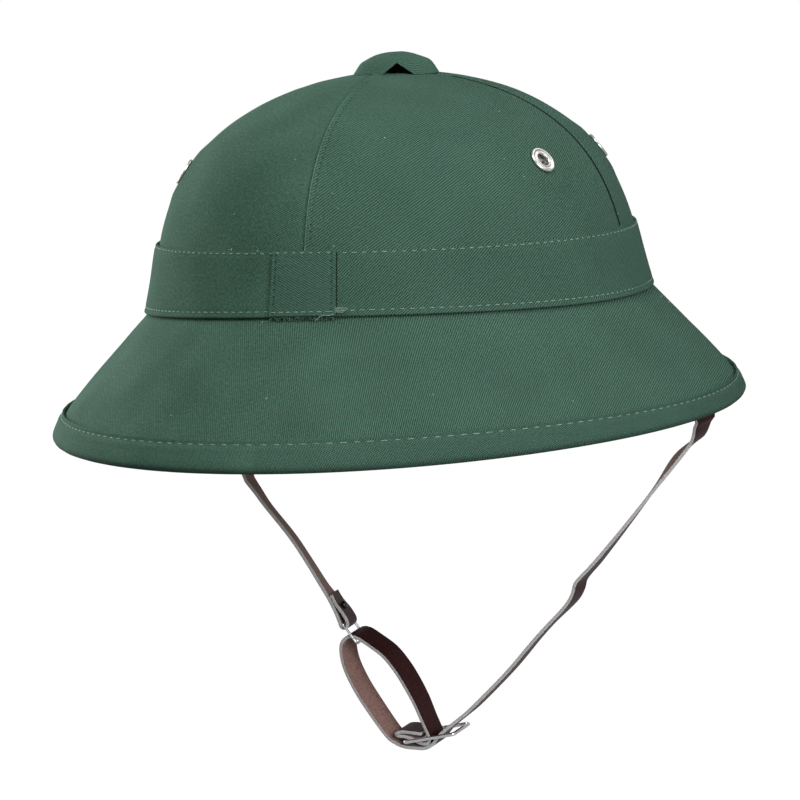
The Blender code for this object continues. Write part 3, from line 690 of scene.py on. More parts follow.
PANEL_TWILL = twill("cotton_twill_crown_panel", math.radians(31), cross=0.4)
BRIM_TWILL = twill("cotton_twill_brim", math.radians(102), cross=0.35)
BAND_TWILL = twill("cotton_twill_band", math.radians(42), cross=0.4)
PATCH_TWILL = twill("cotton_twill_band_end", math.radians(-31), cross=0.7)
HEM_TWILL = twill("cotton_twill_hem", math.radians(38), cross=0.6)
CAP_TWILL = twill("cotton_twill_vent_cap", math.radians(45), cross=0.4)
# Mercerised cotton sewing thread: paler than the cloth, with a slight lustre.
SEWING_THREAD = grainy(
    "cotton_sewing_thread", 0.0006, "#7a9a8a", "#a3bcae", 0.0001, Roughness=0.7,
    Sheen_Weight=0.3
)
# A painted highlight: a panel's folded edge drawn as a paler thread, where the fold catches the
# light.
SEAM_FOLD_HIGHLIGHT = grainy("painted_highlight_on_fold", 0.0012, "#456b5b", "#6f9382", 0.0001, Roughness=0.9)
# Painted shade: the cloth's own green in deep shade, laid in the holes that the needle left and at
# the bottom of a seam.
DEEP_SHADE = grainy("painted_deep_shade_in_cloth", 0.0004, "#14231c", "#1f332a", 0.0001, Roughness=1.0)
# Frayed ends of the cloth's own threads: its green, a little paler where they stand off.
FRAYED = grainy("frayed_twill_threads", 0.0005, "#4d7262", "#6d9080", 0.0001, Roughness=1.0)
# Loose cotton fibre: nearly white against the cloth.
LINT = grainy("loose_cotton_fibre", 0.0005, "#a9c0b4", "#cfdcd4", 0.0001, Roughness=1.0)
# Pressed pith board: dry, pale straw colour, with a short fibrous grain.
PITH = grainy(
    "pressed_pith_board", 0.0035, "#a48d64", "#c3ad83", 0.0004, Roughness=0.85
)
# Nickel plate on rolled brass: bright, faintly uneven from the rolling.
NICKEL = grainy(
    "nickel_plated_brass", 0.0020, "#c9c8c6", "#e4e3e0", 0.00004, Roughness=0.24, Metallic=1.0
)
# Drawn steel wire, plated: bright with a fine grain.
WIRE = grainy(
    "plated_steel_wire", 0.0006, "#d6d6dc", "#f2f2f6", 0.00004, Roughness=0.22, Metallic=1.0
)
# Blued steel of the strap's rivet: dark, with small glints.
RIVET_STEEL = grainy(
    "blued_steel_rivet", 0.0006, "#3c3c3e", "#606062", 0.00004, Roughness=0.3, Metallic=1.0
)
# Dyed and glazed leather: dark maroon, close to black, with a faint even gloss.
GLAZED_LEATHER = grainy(
    "glazed_maroon_leather", 0.0009, "#220809", "#461415", 0.00010, Roughness=0.42,
    Specular_IOR_Level=0.12
)
# The leather's flesh side: dull pinkish brown nap.
SUEDE_LEATHER = grainy(
    "suede_leather_back", 0.0008, "#94716a", "#b9938a", 0.0003, Roughness=0.95, Sheen_Weight=0.3
)
# The cut edge of the leather: undyed fibre, nearly white, with a soft nap.
CUT_LEATHER = grainy(
    "cut_leather_edge", 0.0007, "#f1ecec", "#ffffff", 0.0001, Roughness=0.7, Sheen_Weight=0.4
)


# The crown

# How closely a panel's columns crowd toward its seams, how far a lap takes to fade, where
# the cloth puckers beside a seam and how often, and where it swells round an eyelet.
SEAM_PACKING = 0.85
LAP_FADE = 0.0042
PUCKER_PLACE = 0.0035
PUCKERS = 190
EYELET_SWELL_PLACE = 0.0095


def panel_share(share):
    """Packs the columns of a panel toward its two seams."""
    return share - SEAM_PACKING * math.sin(2 * math.pi * share) / (2 * math.pi)


def near_turn(turn, other):
    """The smallest turn between two directions."""
    return abs((turn - other + math.pi) % (2 * math.pi) - math.pi)


def panel_relief(turn, station, seam, side, lapped):
    """How the cloth stands off its plain form: at a seam, round an eyelet and by chance."""
    radius = (CROWN_WIDTH + CROWN_LENGTH) / 4 * spread(station)
    off_seam = abs(turn - seam) * radius
    point = skin(turn, station)
    lift = uneven(point, PANEL_WAVES)
    if lapped and side > 0:
        lift += SEAM_LAP * (1 - ease(off_seam / LAP_FADE))
        lift -= bump(off_seam - SEAM_SEW, *SEAM_SEWN)
    elif lapped:
        lift -= bump(off_seam, *LAP_FOOT)
    else:
        lift -= bump(off_seam, *BUTTED_SEAM)
    pucker = 1 + 0.5 * math.sin(station * PUCKERS)
    lift += bump(off_seam - PUCKER_PLACE, *PUCKER) * pucker
    for other in EYELET_TURNS:
        if near_turn(turn, other) < 0.4:
            away = (point - skin(other, EYELET_RISE)).length
            lift += bump(away - EYELET_SWELL_PLACE, *EYELET_SWELL) - bump(away, *EYELET_DIP)
    return lift


def make_panel(name, start_turn, end_turn, laps, eyelet_turn):
    """One gore of the cover, from seam to seam: laps says which of its two seams are lapped."""
    start = math.asin(GAP / CROWN_HEIGHT)
    end = math.asin(rise_at(2 * COVER_VENT_RADIUS / CROWN_WIDTH))
    middle_turn = (start_turn + end_turn) / 2
    rows = PANEL_GRID[1]
    lengths = [0.0]
    for row in range(rows):
        low, high = (math.sin(start + (end - start) * r / rows) for r in (row, row + 1))
        lengths.append(lengths[-1] + (skin(middle_turn, high) - skin(middle_turn, low)).length)

    def where(across, up):
        turn = start_turn + (end_turn - start_turn) * panel_share(across)
        return turn, math.sin(start + (end - start) * up)

    def place(across, up):
        turn, station = where(across, up)
        near_start = across < 0.5
        seam = start_turn if near_start else end_turn
        side = 1 if near_start else -1
        lift = panel_relief(turn, station, seam, side, laps[0 if near_start else 1])
        return layer(turn, station, lift)

    def chart(across, up):
        turn, station = where(across, up)
        radius = (CROWN_WIDTH + CROWN_LENGTH) / 4 * spread(station)
        return ((turn - middle_turn) * radius, lengths[round(up * rows)])

    panel = laid_grid(name, *PANEL_GRID, place, chart)
    thicken(panel, CLOTH)
    pierce(panel, *on_cloth(eyelet_turn, EYELET_RISE, 0.0), EYELET_HOLE)
    settle(panel, PANEL_TWILL, ["crown_gore_" + name.replace("crown_panel_", "")])
    return panel


def make_crown():
    quarter = math.pi / 2
    seams = (SEAM_SHIFT, quarter, 2 * quarter + SEAM_SHIFT, 3 * quarter, 4 * quarter + SEAM_SHIFT)
    lapped = (True, False, True, False, True)
    panels = []
    for i, name in enumerate(QUARTERS):
        panels.append(
            make_panel(
                "crown_panel_" + name, seams[i] + PANEL_INSET, seams[i + 1] - PANEL_INSET,
                lapped[i:i + 2], EYELET_TURNS[i]
            )
        )
    return panels


def make_shell():
    """The pith board itself, seen from below."""
    low = -EDGE_DROP
    high = math.asin(rise_at(2 * VENT_RADIUS / CROWN_WIDTH))

    def place(across, up):
        turn = 2 * math.pi * across
        share = up * 2 - 1
        station = low * -share if share < 0 else math.sin(high * share)
        return layer(turn, station, SHELL_OUTSIDE + uneven(skin(turn, station), SHELL_WAVES))

    shell = laid_grid("pith_shell", *SHELL_GRID, place, lambda across, up: (across, up))
    merge_seam(shell)
    thicken(shell, SHELL_WALL)
    for turn in EYELET_TURNS:
        pierce(shell, *on_cloth(turn, EYELET_RISE, 0.0), EYELET_HOLE)
    return settle(shell, PITH, ["helmet_shell"])


# The brim, the band and the hem

def make_brim():
    low = -EDGE_DROP

    def station_at(up):
        return low + (BRIM_LAP - low) * up

    def place(across, up):
        turn = 2 * math.pi * across
        station = station_at(up)
        return layer(turn, station, uneven(skin(turn, station), BRIM_WAVES))

    def chart(across, up):
        turn = 2 * math.pi * across
        top = skin(turn, 0.0)
        slant = (skin(turn, station_at(up)) - top).length
        return (top.x + math.sin(turn) * slant, top.y - math.cos(turn) * slant)

    brim = laid_grid("brim_cloth", *BRIM_GRID, place, chart)
    merge_seam(brim)
    thicken(brim, CLOTH)
    return settle(brim, BRIM_TWILL, ["brim_cover"])


def round_length():
    """The way round the crown's base."""
    points = [skin(2 * math.pi * i / 240, BAND_LEVEL) for i in range(241)]
    return sum((b - a).length for a, b in zip(points, points[1:]))


def band_relief(turn, height, pitch_count):
    """Dips along the two rows of stitches, and soft waves between them."""
    top = BAND_HEIGHT - BAND_SLOPE * math.sin(turn)
    point = skin(turn, BAND_LEVEL)
    wave = 0.5 + 0.5 * math.cos(turn * pitch_count)
    pull = bump(top - STITCH_INSET - height, *BAND_SEWN) + bump(height - BAND_FOOT_ROW, *BAND_SEWN)
    return -pull * (0.6 + 0.4 * wave) + uneven(point + Vector((0, 0, height)), BAND_WAVES)


def band_rows(turn, up):
    """The height above the crown's base at a share of the band's width."""
    top = BAND_HEIGHT - BAND_SLOPE * math.sin(turn)
    return BAND_FOOT + (top - BAND_FOOT) * up


def make_band():
    around = round_length()
    count = round(around / BAND_STITCH)

    def place(across, up):
        turn = 2 * math.pi * across
        height = band_rows(turn, up)
        return layer(turn, height / CROWN_HEIGHT, BAND_OUTSIDE + band_relief(turn, height, count))

    def chart(across, up):
        return (across * around, band_rows(2 * math.pi * across, up))

    band = laid_grid("hat_band_cloth", *BAND_GRID, place, chart)
    merge_seam(band)
    thicken(band, BAND_CLOTH)
    soften(band, 0.0004)
    settle(band, BAND_TWILL, ["hat_band"])
    return band


def make_band_end():
    """The band's end, lapped over its start: sewn on the left, folded on the right."""

    def place(across, up):
        turn = END_MIDDLE + END_HALF * (2 * across - 1)
        height = band_rows(turn, up)
        away = across * OVERLAP_WIDTH
        pull = bump(away - SIDE_SEWN, *END_SEWN) + bump(OVERLAP_WIDTH - away - SIDE_FOLDED, *END_SEWN)
        lift = OVERLAP_OUTSIDE - pull + uneven(skin(turn, up), BAND_END_WAVES)
        return layer(turn, height / CROWN_HEIGHT, lift)

    def chart(across, up):
        return (across * OVERLAP_WIDTH, up * BAND_HEIGHT)

    patch = laid_grid("band_end_cloth", *BAND_END_GRID, place, chart)
    thicken(patch, OVERLAP_CLOTH)
    soften(patch, 0.00035)
    settle(patch, PATCH_TWILL, ["band_overlap"])
    return patch


def hem_outline(turn, up):
    """The hem's outer face from its inner edge round the rim to its upper edge outside,
    as a share of the brim's drop and a lift."""
    tuck, edge, hem = TUCK_DROP, EDGE_DROP, hem_drop(turn)
    middle = (HEM_OUTSIDE + HEM_FAR_SIDE) / 2
    half = (HEM_OUTSIDE - HEM_FAR_SIDE) / 2
    if up < HEM_TUCKED:
        return tuck + (edge - tuck) * up / HEM_TUCKED, HEM_FAR_SIDE
    if up < HEM_ROUNDED:
        bend = math.pi * (up - HEM_TUCKED) / (HEM_ROUNDED - HEM_TUCKED)
        return edge + (1 - edge) * math.sin(bend), middle - half * math.cos(bend)
    return edge + (hem - edge) * (up - HEM_ROUNDED) / (1 - HEM_ROUNDED), HEM_OUTSIDE


def make_hem():
    """The bound rim. Its upper edge is a folded ridge with the stitches just below it."""

    def place(across, up):
        turn = 2 * math.pi * across
        drop, lift = hem_outline(turn, up)
        below_edge = (drop - hem_drop(turn)) * BRIM_SLANT
        if up > HEM_ROUNDED:
            lift += bump(below_edge - 0.0004, *HEM_RIDGE)
            lift -= bump(below_edge - HEM_INSET, *HEM_SEWN)
            lift += bump(below_edge - 0.0035, *HEM_FULLNESS)
        point = skin(turn, -drop)
        if up > 0.3:
            off_joint = near_turn(turn, HEM_JOINT_TURN) * RIM_LENGTH / 2
            lift += uneven(point, HEM_WAVES)
            lift -= bump(off_joint, *HEM_JOINT)
        return layer(turn, -drop, lift)

    def chart(across, up):
        return (across * HEM_LENGTH, up * HEM_WEAVE_WIDTH)

    hem = laid_grid("rim_hem_cloth", *HEM_GRID, place, chart)
    merge_seam(hem)
    thicken(hem, CLOTH)
    soften(hem, 0.0004)
    settle(hem, HEM_TWILL, ["rim_binding"])
    return hem


# Sewing

def walk(path, pitch, count=1200):
    """Places a pitch apart along a path that gives a point and the face's normal there."""
    samples = [path(i / count) for i in range(count + 1)]
    spots = []
    travelled, due = 0.0, pitch / 2
    for (here, normal), (there, _) in zip(samples, samples[1:]):
        step = (there - here).length
        if travelled + step >= due and step > 0:
            share = (due - travelled) / step
            spots.append((here.lerp(there, share), (there - here).normalized(), normal))
            due += pitch
        travelled += step
    return spots


def model_stitch():
    """One stitch: a short plump thread that dives into the cloth at both ends."""
    choose()
    bpy.ops.mesh.primitive_uv_sphere_add(segments=8, ring_count=6, radius=1.0)
    stitch = named("stitch")
    for vertex in stitch.data.vertices:
        x, y, z = vertex.co
        vertex.co = (z, x, y - 0.35 * z * z)
    return stitch


STITCH_WAVER = 0.08


def sew(name, spots, finish, seed, length, radius=STITCH_RADIUS):
    """Copies one stitch to each spot, a little askew and uneven in length, and joins them."""
    pattern = model_stitch()
    luck = random.Random(seed)
    copies = []
    for point, along, normal in spots:
        across = normal.cross(along).normalized()
        tilt = luck.uniform(-STITCH_WAVER, STITCH_WAVER)
        along = (along + across * tilt).normalized()
        across = normal.cross(along).normalized()
        up = along.cross(across)
        turn = Matrix((along, across, up)).transposed().to_4x4()
        size = luck.uniform(0.85, 1.15)
        scale = Matrix.Diagonal((length / 2 * size, radius, radius, 1.0))
        copy = link_up("stitch", pattern.data.copy())
        copy.data.transform(Matrix.Translation(point + up * (radius * 0.2)) @ turn @ scale)
        copies.append(copy)
    bpy.data.objects.remove(pattern, do_unlink=True)
    return settle_threads(name, copies, finish)


def row_at(height_of, lift, middle=math.pi, half=math.pi):
    """A path round the crown at a height, over some turn to both sides of a middle."""
    def path(share):
        turn = middle + half * (2 * share - 1)
        return on_cloth(turn, height_of(turn) / CROWN_HEIGHT, lift)
    return path


def below_band_top(turn):
    return band_rows(turn, 1.0) - STITCH_INSET


def sew_band():
    length = BAND_STITCH * STITCH_SHARE
    lift = BAND_OUTSIDE - BAND_BED
    top = walk(row_at(below_band_top, lift), BAND_STITCH)
    foot = walk(row_at(lambda turn: BAND_FOOT_ROW, lift), BAND_STITCH)
    sew("stitches_band_top", top, SEWING_THREAD, 1, length)
    sew("stitches_band_foot", foot, SEWING_THREAD, 2, length)


def sew_hem():
    def along_hem(share):
        turn = 2 * math.pi * share
        drop = hem_drop(turn) + HEM_INSET / BRIM_SLANT
        return on_cloth(turn, -drop, HEM_OUTSIDE - HEM_BED)

    row = walk(along_hem, HEM_STITCH)
    sew("stitches_hem", row, SEWING_THREAD, 3, HEM_STITCH * HEM_STITCH_SHARE)


def sew_band_end():
    """Rows along the top and the foot of the band's end, and up both its sides."""
    lift = OVERLAP_OUTSIDE - END_BED
    reach = END_HALF * END_ROW_SHARE
    rows = walk(row_at(below_band_top, lift, END_MIDDLE, reach), END_TOP_STITCH)
    rows += walk(row_at(lambda turn: END_FOOT_ROW, lift, END_MIDDLE, reach), END_FOOT_STITCH)
    sew("stitches_band_end", rows, SEWING_THREAD, 4, END_STITCH_LENGTH)

    def up_sides(*insets):
        spots = []
        for inset in insets:
            turn = END_MIDDLE - END_HALF + inset / (CROWN_WIDTH / 2)

            def up_side(share):
                return on_cloth(turn, band_rows(turn, 0.04 + 0.92 * share) / CROWN_HEIGHT, lift)

            spots += walk(up_side, SIDE_STITCH)
        return spots

    sides = up_sides(SIDE_SEWN, OVERLAP_WIDTH - SIDE_FOLDED)
    sew("stitches_band_end_sides", sides, FRAYED, 7, length=0.0014, radius=STITCH_RADIUS * 0.8)
    # Painted shade: dark dots in the needle's holes up both sides of the band's end.
    holes = up_sides(SIDE_SEWN_HOLES, OVERLAP_WIDTH - SIDE_FOLDED_HOLES)
    sew("needle_hole_shade_band_end", holes, DEEP_SHADE, 5, length=0.0008, radius=0.00028)


def make_seams():
    """Painted shade in the front seam's needle holes, painted highlights on the folds of the lapped
    seams, and painted deep shade in the side seams and beside the fold of the band's end."""
    def up_seam(share):
        station = 0.31 + 0.66 * share
        radius = CROWN_WIDTH / 2 * spread(station)
        return on_cloth(SEAM_SHIFT + SEAM_SEW / radius, station, 0.00012)

    row = walk(up_seam, SIDE_STITCH)
    # Painted shade: dark dots in the front seam's needle holes.
    sew("needle_hole_shade_seam", row, DEEP_SHADE, 6, length=0.0007, radius=0.00024)

    def seam_threads(turns, low, height, lift, radius):
        threads = []
        for turn in turns:
            points = [layer(turn, low + height * i / 40, lift) for i in range(41)]
            threads.append(thread("seam_thread", points, radius))
        return threads

    # Painted highlight: paler threads laid along the folded edges of the lapped seams.
    fold_highlights = seam_threads(
        (SEAM_SHIFT + PANEL_INSET, math.pi + SEAM_SHIFT + PANEL_INSET), low=0.28, height=0.70,
        lift=SEAM_LAP - 0.0001, radius=0.00022
    )
    settle_threads("seam_fold_highlights", fold_highlights, SEAM_FOLD_HIGHLIGHT)
    # Painted shade: dark threads in the side seams and beside the fold of the band's end.
    shades = seam_threads(
        (math.pi / 2, 3 * math.pi / 2), low=0.30, height=0.67, lift=-0.0001, radius=0.00028
    )
    points = []
    for i in range(13):
        height = band_rows(END_MIDDLE + END_HALF, 0.02 + 0.96 * i / 12)
        beside = END_MIDDLE + END_HALF * 1.012
        points.append(layer(beside, height / CROWN_HEIGHT, BAND_OUTSIDE + 0.0001))
    shades.append(thread("shade", points, 0.00026))
    settle_threads("seam_shades", shades, DEEP_SHADE)


# Eyelets and the vent cap

# The eyelet's face from its outer edge to its bore, as radius and height in millimetres.
EYELET_FACE = (
    (5.65, 0.30), (5.62, 0.75), (5.40, 1.12), (5.05, 1.28), (4.65, 1.20), (4.25, 1.00),
    (3.90, 0.92), (3.60, 1.02), (3.30, 1.18), (3.00, 1.16), (2.78, 0.95), (2.65, 0.55),
)


def make_eyelets():
    """Rolled rings: a round outer bead, a shallow dish and a lip that turns down the bore."""
    outside = [(radius / 1000, height / 1000) for radius, height in EYELET_FACE]
    depth = SHELL_INSIDE - 0.0016
    # The bore's wall, the lip turned out behind the shell, and the way back to the flange.
    profile = outside + [
        (EYELET_BORE, -0.001), (EYELET_BORE, depth + 0.0004), (EYELET_BORE + 0.0002, depth),
        (0.0041, depth), (0.0043, depth + 0.0003), (0.0041, depth + 0.0005),
        (EYELET_BORE + 0.0006, depth + 0.0006), (EYELET_BORE + 0.0006, -0.0002),
        (EYELET_FLANGE - 0.0004, 0.0),
    ]
    for name, turn in zip(QUARTERS, EYELET_TURNS):
        ring = lathe("eyelet_ring_" + name, profile, 56, True)
        set_down(ring, *on_cloth(turn, EYELET_RISE, 0.0))
        settle(ring, NICKEL, ["eyelet_" + name], smooth=60)


# The cap's dome from its foot to its top, as radius and height in millimetres.
CAP_DOME = (
    (17.3, 0.0), (17.2, 0.5), (16.6, 1.4), (15.7, 3.0), (14.7, 4.6), (13.9, 5.5), (13.3, 5.95),
    (12.0, 6.7), (10.0, 7.7), (8.0, 8.5), (6.0, 9.06), (4.0, 9.5), (2.0, 9.7), (0.0, 9.8),
)
CAP_WALL = 0.0013
CAP_TOP = 0.1004
CAP_FOOT = 0.002
NOTCH_HEIGHT = 0.0902
NOTCH_SHIFT = 0.0003
NOTCH_REACH = 0.020
NOTCH_WIDTH = 0.0150
NOTCH_RISE = 0.0063


def cap_ground(x, y):
    """The height of the crown's cloth under a point of the cap."""
    return CROWN_HEIGHT * rise_at(min(math.hypot(2 * x / CROWN_WIDTH, 2 * y / CROWN_LENGTH), 0.99))


def make_cap():
    """The cloth-covered vent cap: a soft dome whose foot follows the crown, with a notch
    folded into its front."""
    box_low, box_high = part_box("vent_cap")
    centre = Vector(((box_low[0] + box_high[0]) / 2, (box_low[1] + box_high[1]) / 2, 0.0))
    dome = [(radius / 1000, height / 1000) for radius, height in CAP_DOME]
    full = dome[-1][1]
    inner = [(max(r - CAP_WALL, 0.0), max(z - CAP_WALL, 0.0)) for r, z in dome[::-1]]
    cap = lathe("vent_cap_cloth", dome + inner[:-2] + [(dome[0][0] - CAP_WALL, 0.0)], 96, True)
    for vertex in cap.data.vertices:
        x, y, z = vertex.co
        ground = cap_ground(x + centre.x, y + centre.y) + 0.0002
        push = uneven(vertex.co, CAP_WAVES) * min(1.0, z / CAP_FOOT)
        vertex.co.z = ground + (CAP_TOP - ground) * z / full + push
    cap.data.transform(Matrix.Translation(centre))
    choose()
    bpy.ops.mesh.primitive_cylinder_add(vertices=3, radius=1.0, depth=0.030)
    notch = named("cutter")
    shape = (
        Matrix.Translation((centre.x, centre.y, NOTCH_HEIGHT))
        @ Matrix.Rotation(CAMERA_AZIMUTH, 4, "Z")
        @ Matrix.Translation((NOTCH_SHIFT, -NOTCH_REACH, 0.0))
        @ Matrix.Rotation(math.pi / 2, 4, "X") @ Matrix.Diagonal((NOTCH_WIDTH, NOTCH_RISE, 1.0, 1.0))
    )
    notch.data.transform(shape)
    cut_away(cap, notch)
    soften(cap, 0.0005, angle=0.9)
    chart = cap.data.uv_layers.active or cap.data.uv_layers.new(name="weave")
    for loop in cap.data.loops:
        point = cap.data.vertices[loop.vertex_index].co
        chart.data[loop.index].uv = (point.x, point.y + point.z)
    return settle(cap, CAP_TWILL, ["vent_cap"], smooth=60)


# The chin strap and its fittings

def upright(pair):
    """A place in the strap's plane, across and up."""
    return Vector((pair[0], 0.0, pair[1]))


def lean_direction(lean):
    return Vector((lean[0], 1.0, lean[1])).normalized()


def hat_place(across, up):
    return Vector((across * HALF_RIM, NEAR_EDGE, up * STRAP_DROP))


def ring_bars():
    centre = hat_place(*RING_PLACE)
    half = Vector((-math.sin(RING_TILT), 0.0, math.cos(RING_TILT))) * RING_HEIGHT / 2
    return centre + half, centre - half


def route_point(row, side):
    """A row's near edge, and the direction from there to its far edge."""
    origin, across, up = row[:3]
    head, foot = ring_bars()
    offset = upright((across, up))
    if origin == "hat":
        point = hat_place(across, up)
    elif origin == "brim":
        reach = CROWN_WIDTH / 2 + (RIM_WIDTH - CROWN_WIDTH) / 2 * across
        point = Vector((side * reach, NEAR_EDGE, up * BRIM_DROP))
    elif origin == "slide":
        point = hat_place(*SLIDE_PLACE) + offset * SLIDE_WRAP
    elif origin == "ring head":
        point = head + offset * RING_WRAP
    else:
        point = foot + offset * RING_WRAP
    return point, lean_direction(row[3:])


def wall_place(side, along, rise):
    """A point of the strap's middle against the shell's inner wall, clear of its facets."""
    turn = math.acos(-along / (CROWN_LENGTH / 2 * spread(rise)))
    facet_sag = CROWN_LENGTH / 2 * (1 - math.cos(math.pi / SHELL_FACETS))
    point = layer(turn, rise, SHELL_INSIDE - GAP - facet_sag - STRAP_THICKNESS / 2)
    return Vector((side * point.x, along, point.z))


def wall_rows(side):
    """The strap's first rows, from its hidden end down the wall to the opening."""
    rows = []
    for share in (1.0, 0.5, 0.0):
        rise = STRAP_END_SHARE * share
        near = wall_place(side, NEAR_EDGE, rise)
        far = wall_place(side, NEAR_EDGE + STRAP_WIDTH, rise)
        rows.append((near, (far - near).normalized()))
    return rows


def between(four, share):
    """A smooth curve from the second to the third of four values."""
    before, start, end, after = four
    slope_in = (end - before) / 2
    slope_out = (after - start) / 2
    square = share * share
    cube = square * share
    return (
        start * (2 * cube - 3 * square + 1)
        + slope_in * (cube - 2 * square + share)
        + end * (3 * square - 2 * cube)
        + slope_out * (cube - square)
    )


def smooth_route(rows):
    result = []
    last = len(rows) - 1
    for i in range(last):
        four = [rows[max(i - 1, 0)], rows[i], rows[i + 1], rows[min(i + 2, last)]]
        steps = max(2, round((four[2][0] - four[1][0]).length / STRAP_STEP))
        for step in range(steps):
            share = step / steps
            result.append(tuple(between([row[part] for row in four], share) for part in (0, 1)))
    result.append(rows[-1])
    return result


def make_strap(name, side, table, finishes, node):
    """A strap along its route: finishes are its outer face's, its inner face's and its edge's."""
    route = smooth_route(wall_rows(side) + [route_point(row, side) for row in table])
    last = len(route) - 1

    def place(across, up):
        near, width = route[round(across * last)]
        edge = 0.5 - 0.5 * math.cos(math.pi * up)
        return near + width.normalized() * STRAP_WIDTH * edge

    strap = laid_grid(name, last, STRAP_ROWS, place, lambda across, up: (across, up))
    for finish in finishes:
        strap.data.materials.append(finish)
    finish_with(
        strap, "SOLIDIFY", thickness=STRAP_THICKNESS, offset=0.0, material_offset=1,
        material_offset_rim=2
    )
    return strap, finishes, node


def finish_strap(made):
    """Settles a strap, whose faces already name their own finishes."""
    strap, finishes, node = made
    soften(strap, 0.00022, angle=1.1, segments=2)
    marks = [face.material_index for face in strap.data.polygons]
    settle(strap, finishes, [node])
    for face, mark in zip(strap.data.polygons, marks):
        face.material_index = mark


CORNER_STEPS = 8


def bent_wire(name, corners, corner_radius, radius, cyclic):
    """Wire bent at its corners: a closed loop, or a straight bar."""
    points = []
    for i, corner in enumerate(corners):
        if not cyclic:
            points.append(corner)
            continue
        back = (corners[i - 1] - corner).normalized() * corner_radius
        forth = (corners[(i + 1) % len(corners)] - corner).normalized() * corner_radius
        for step in range(CORNER_STEPS + 1):
            share = step / CORNER_STEPS
            points.append(corner + back * (1 - share) ** 2 + forth * share**2)
    made = tube(name, points, radius, 5, "POLY", cyclic)
    merge_seam(made)
    return made


def bar_ends(near, lean, width):
    direction = lean_direction(lean)
    middle = near + direction * STRAP_WIDTH / 2
    return middle - direction * width / 2, middle + direction * width / 2


def wire_frame(name, first, second, lean, width, corner_radius, radius):
    """A closed frame of wire between two bars that lean alike."""
    near, far = bar_ends(first, lean, width)
    second_near, second_far = bar_ends(second, lean, width)
    return bent_wire(name, (near, far, second_far, second_near), corner_radius, radius, True)


def make_slide():
    middle = hat_place(*SLIDE_PLACE)
    left = middle + upright(SLIDE_LEFT_BAR) * SLIDE_WRAP
    right = middle + upright(SLIDE_RIGHT_BAR) * SLIDE_WRAP
    span = right - left
    middle = left + span * (middle - left).dot(span) / span.dot(span)
    loop = wire_frame("slide_loop", left, right, SLIDE_LEAN, SLIDE_WIDTH, SLIDE_CORNER, SLIDE_WIRE)
    bar = bent_wire("slide_bar", bar_ends(middle, SLIDE_LEAN, SLIDE_WIDTH), 0.0, SLIDE_WIRE, False)
    return settle(joined("strap_slide_wire", (loop, bar)), WIRE, ["strap_slide"])


def make_ring():
    ring = wire_frame(
        "strap_ring_wire", *ring_bars(), RING_LEAN, RING_WIDTH, RING_CORNER, RING_WIRE
    )
    return settle(ring, WIRE, ["strap_ring"])


def make_rivet():
    """The rivet through the short strap's folded end: two domed heads on a shank."""
    width = lean_direction(RIVET_LEAN)
    axis = width.cross(upright(RIVET_RUN)).normalized()
    place = ring_bars()[0] + upright(RIVET_ROW) * RING_WRAP
    place += width * STRAP_WIDTH / 2
    half = 0.75 * RING_WRAP + STRAP_THICKNESS / 2 + 0.0004
    head, dome, shank = 0.0019, 0.0011, 0.0010
    upper = [(head * math.cos(t * math.pi / 12), half + dome * math.sin(t * math.pi / 12))
             for t in range(6, -1, -1)]
    profile = upper + [(head * 0.95, half), (shank, half), (shank, -half), (head * 0.95, -half)]
    profile += [(r, -z) for r, z in upper[::-1]]
    rivet = lathe("strap_rivet_heads", profile, 40, False)
    set_down(rivet, place, axis)
    settle(rivet, RIVET_STEEL, ["strap_rivet"])
    return place, axis


# Loose fibres

# A thread end that came loose at the band's end, as turns and stations.
LOOSE_TAIL = ((0.1387, 0.0108), (0.1212, -0.0181), (0.0912, 0.0108), (0.0761, -0.0471))
LOOSE_TANGLE = ((0.1162, 0.0302), (0.1913, 0.0205), (0.1763, 0.0398))
FRAYED_COUNT = 70
LINT_COUNT = 60
FIBRE_STEP = 0.0005
FIBRE_RADIUS = 0.00010
TAIL_RADIUS = 0.00014
KNOTS = ((-0.1818, 0.3007), (0.1362, 0.3103))


def make_fibres():
    """A frayed edge below the band's end, two knots above it and a tangled loose thread."""
    luck = random.Random(12)
    frayed = []
    for _ in range(FRAYED_COUNT):
        turn = luck.uniform(-0.85, 1.05) * END_HALF
        points = [layer(turn, 0.003, luck.uniform(0.0006, 0.0024))]
        heading = Vector((luck.uniform(-1, 1), -0.3, luck.uniform(-1.0, -0.1))).normalized()
        for _ in range(3):
            heading += Vector((luck.uniform(-0.5, 0.5), 0, luck.uniform(-0.4, 0.4)))
            heading.normalize()
            points.append(points[-1] + heading * FIBRE_STEP)
        frayed.append(thread("fibre", points, FIBRE_RADIUS))
    settle_threads("frayed_fibres", frayed, FRAYED)
    loops = []
    for turn, station in KNOTS:
        points = []
        for _ in range(7):
            away = (luck.uniform(-0.006, 0.006), luck.uniform(-0.006, 0.006))
            lift = OVERLAP_OUTSIDE + luck.uniform(-0.0006, 0.0003)
            points.append(layer(turn + away[0], station + away[1], lift))
        loops.append(thread("knot", points, FIBRE_RADIUS))
    for _ in range(2):
        points = []
        for i in range(9):
            turn, station = LOOSE_TANGLE[i % 3]
            away = (luck.uniform(-0.012, 0.012), luck.uniform(-0.008, 0.008))
            points.append(layer(turn + away[0], station + away[1], luck.uniform(0.0022, 0.0032)))
        loops.append(thread("tangle", points, FIBRE_RADIUS))
    tail = [layer(turn, station, 0.0027) for turn, station in LOOSE_TAIL]
    loops.append(thread("tail", tail, TAIL_RADIUS))
    settle_threads("loose_thread", loops, SEWING_THREAD)


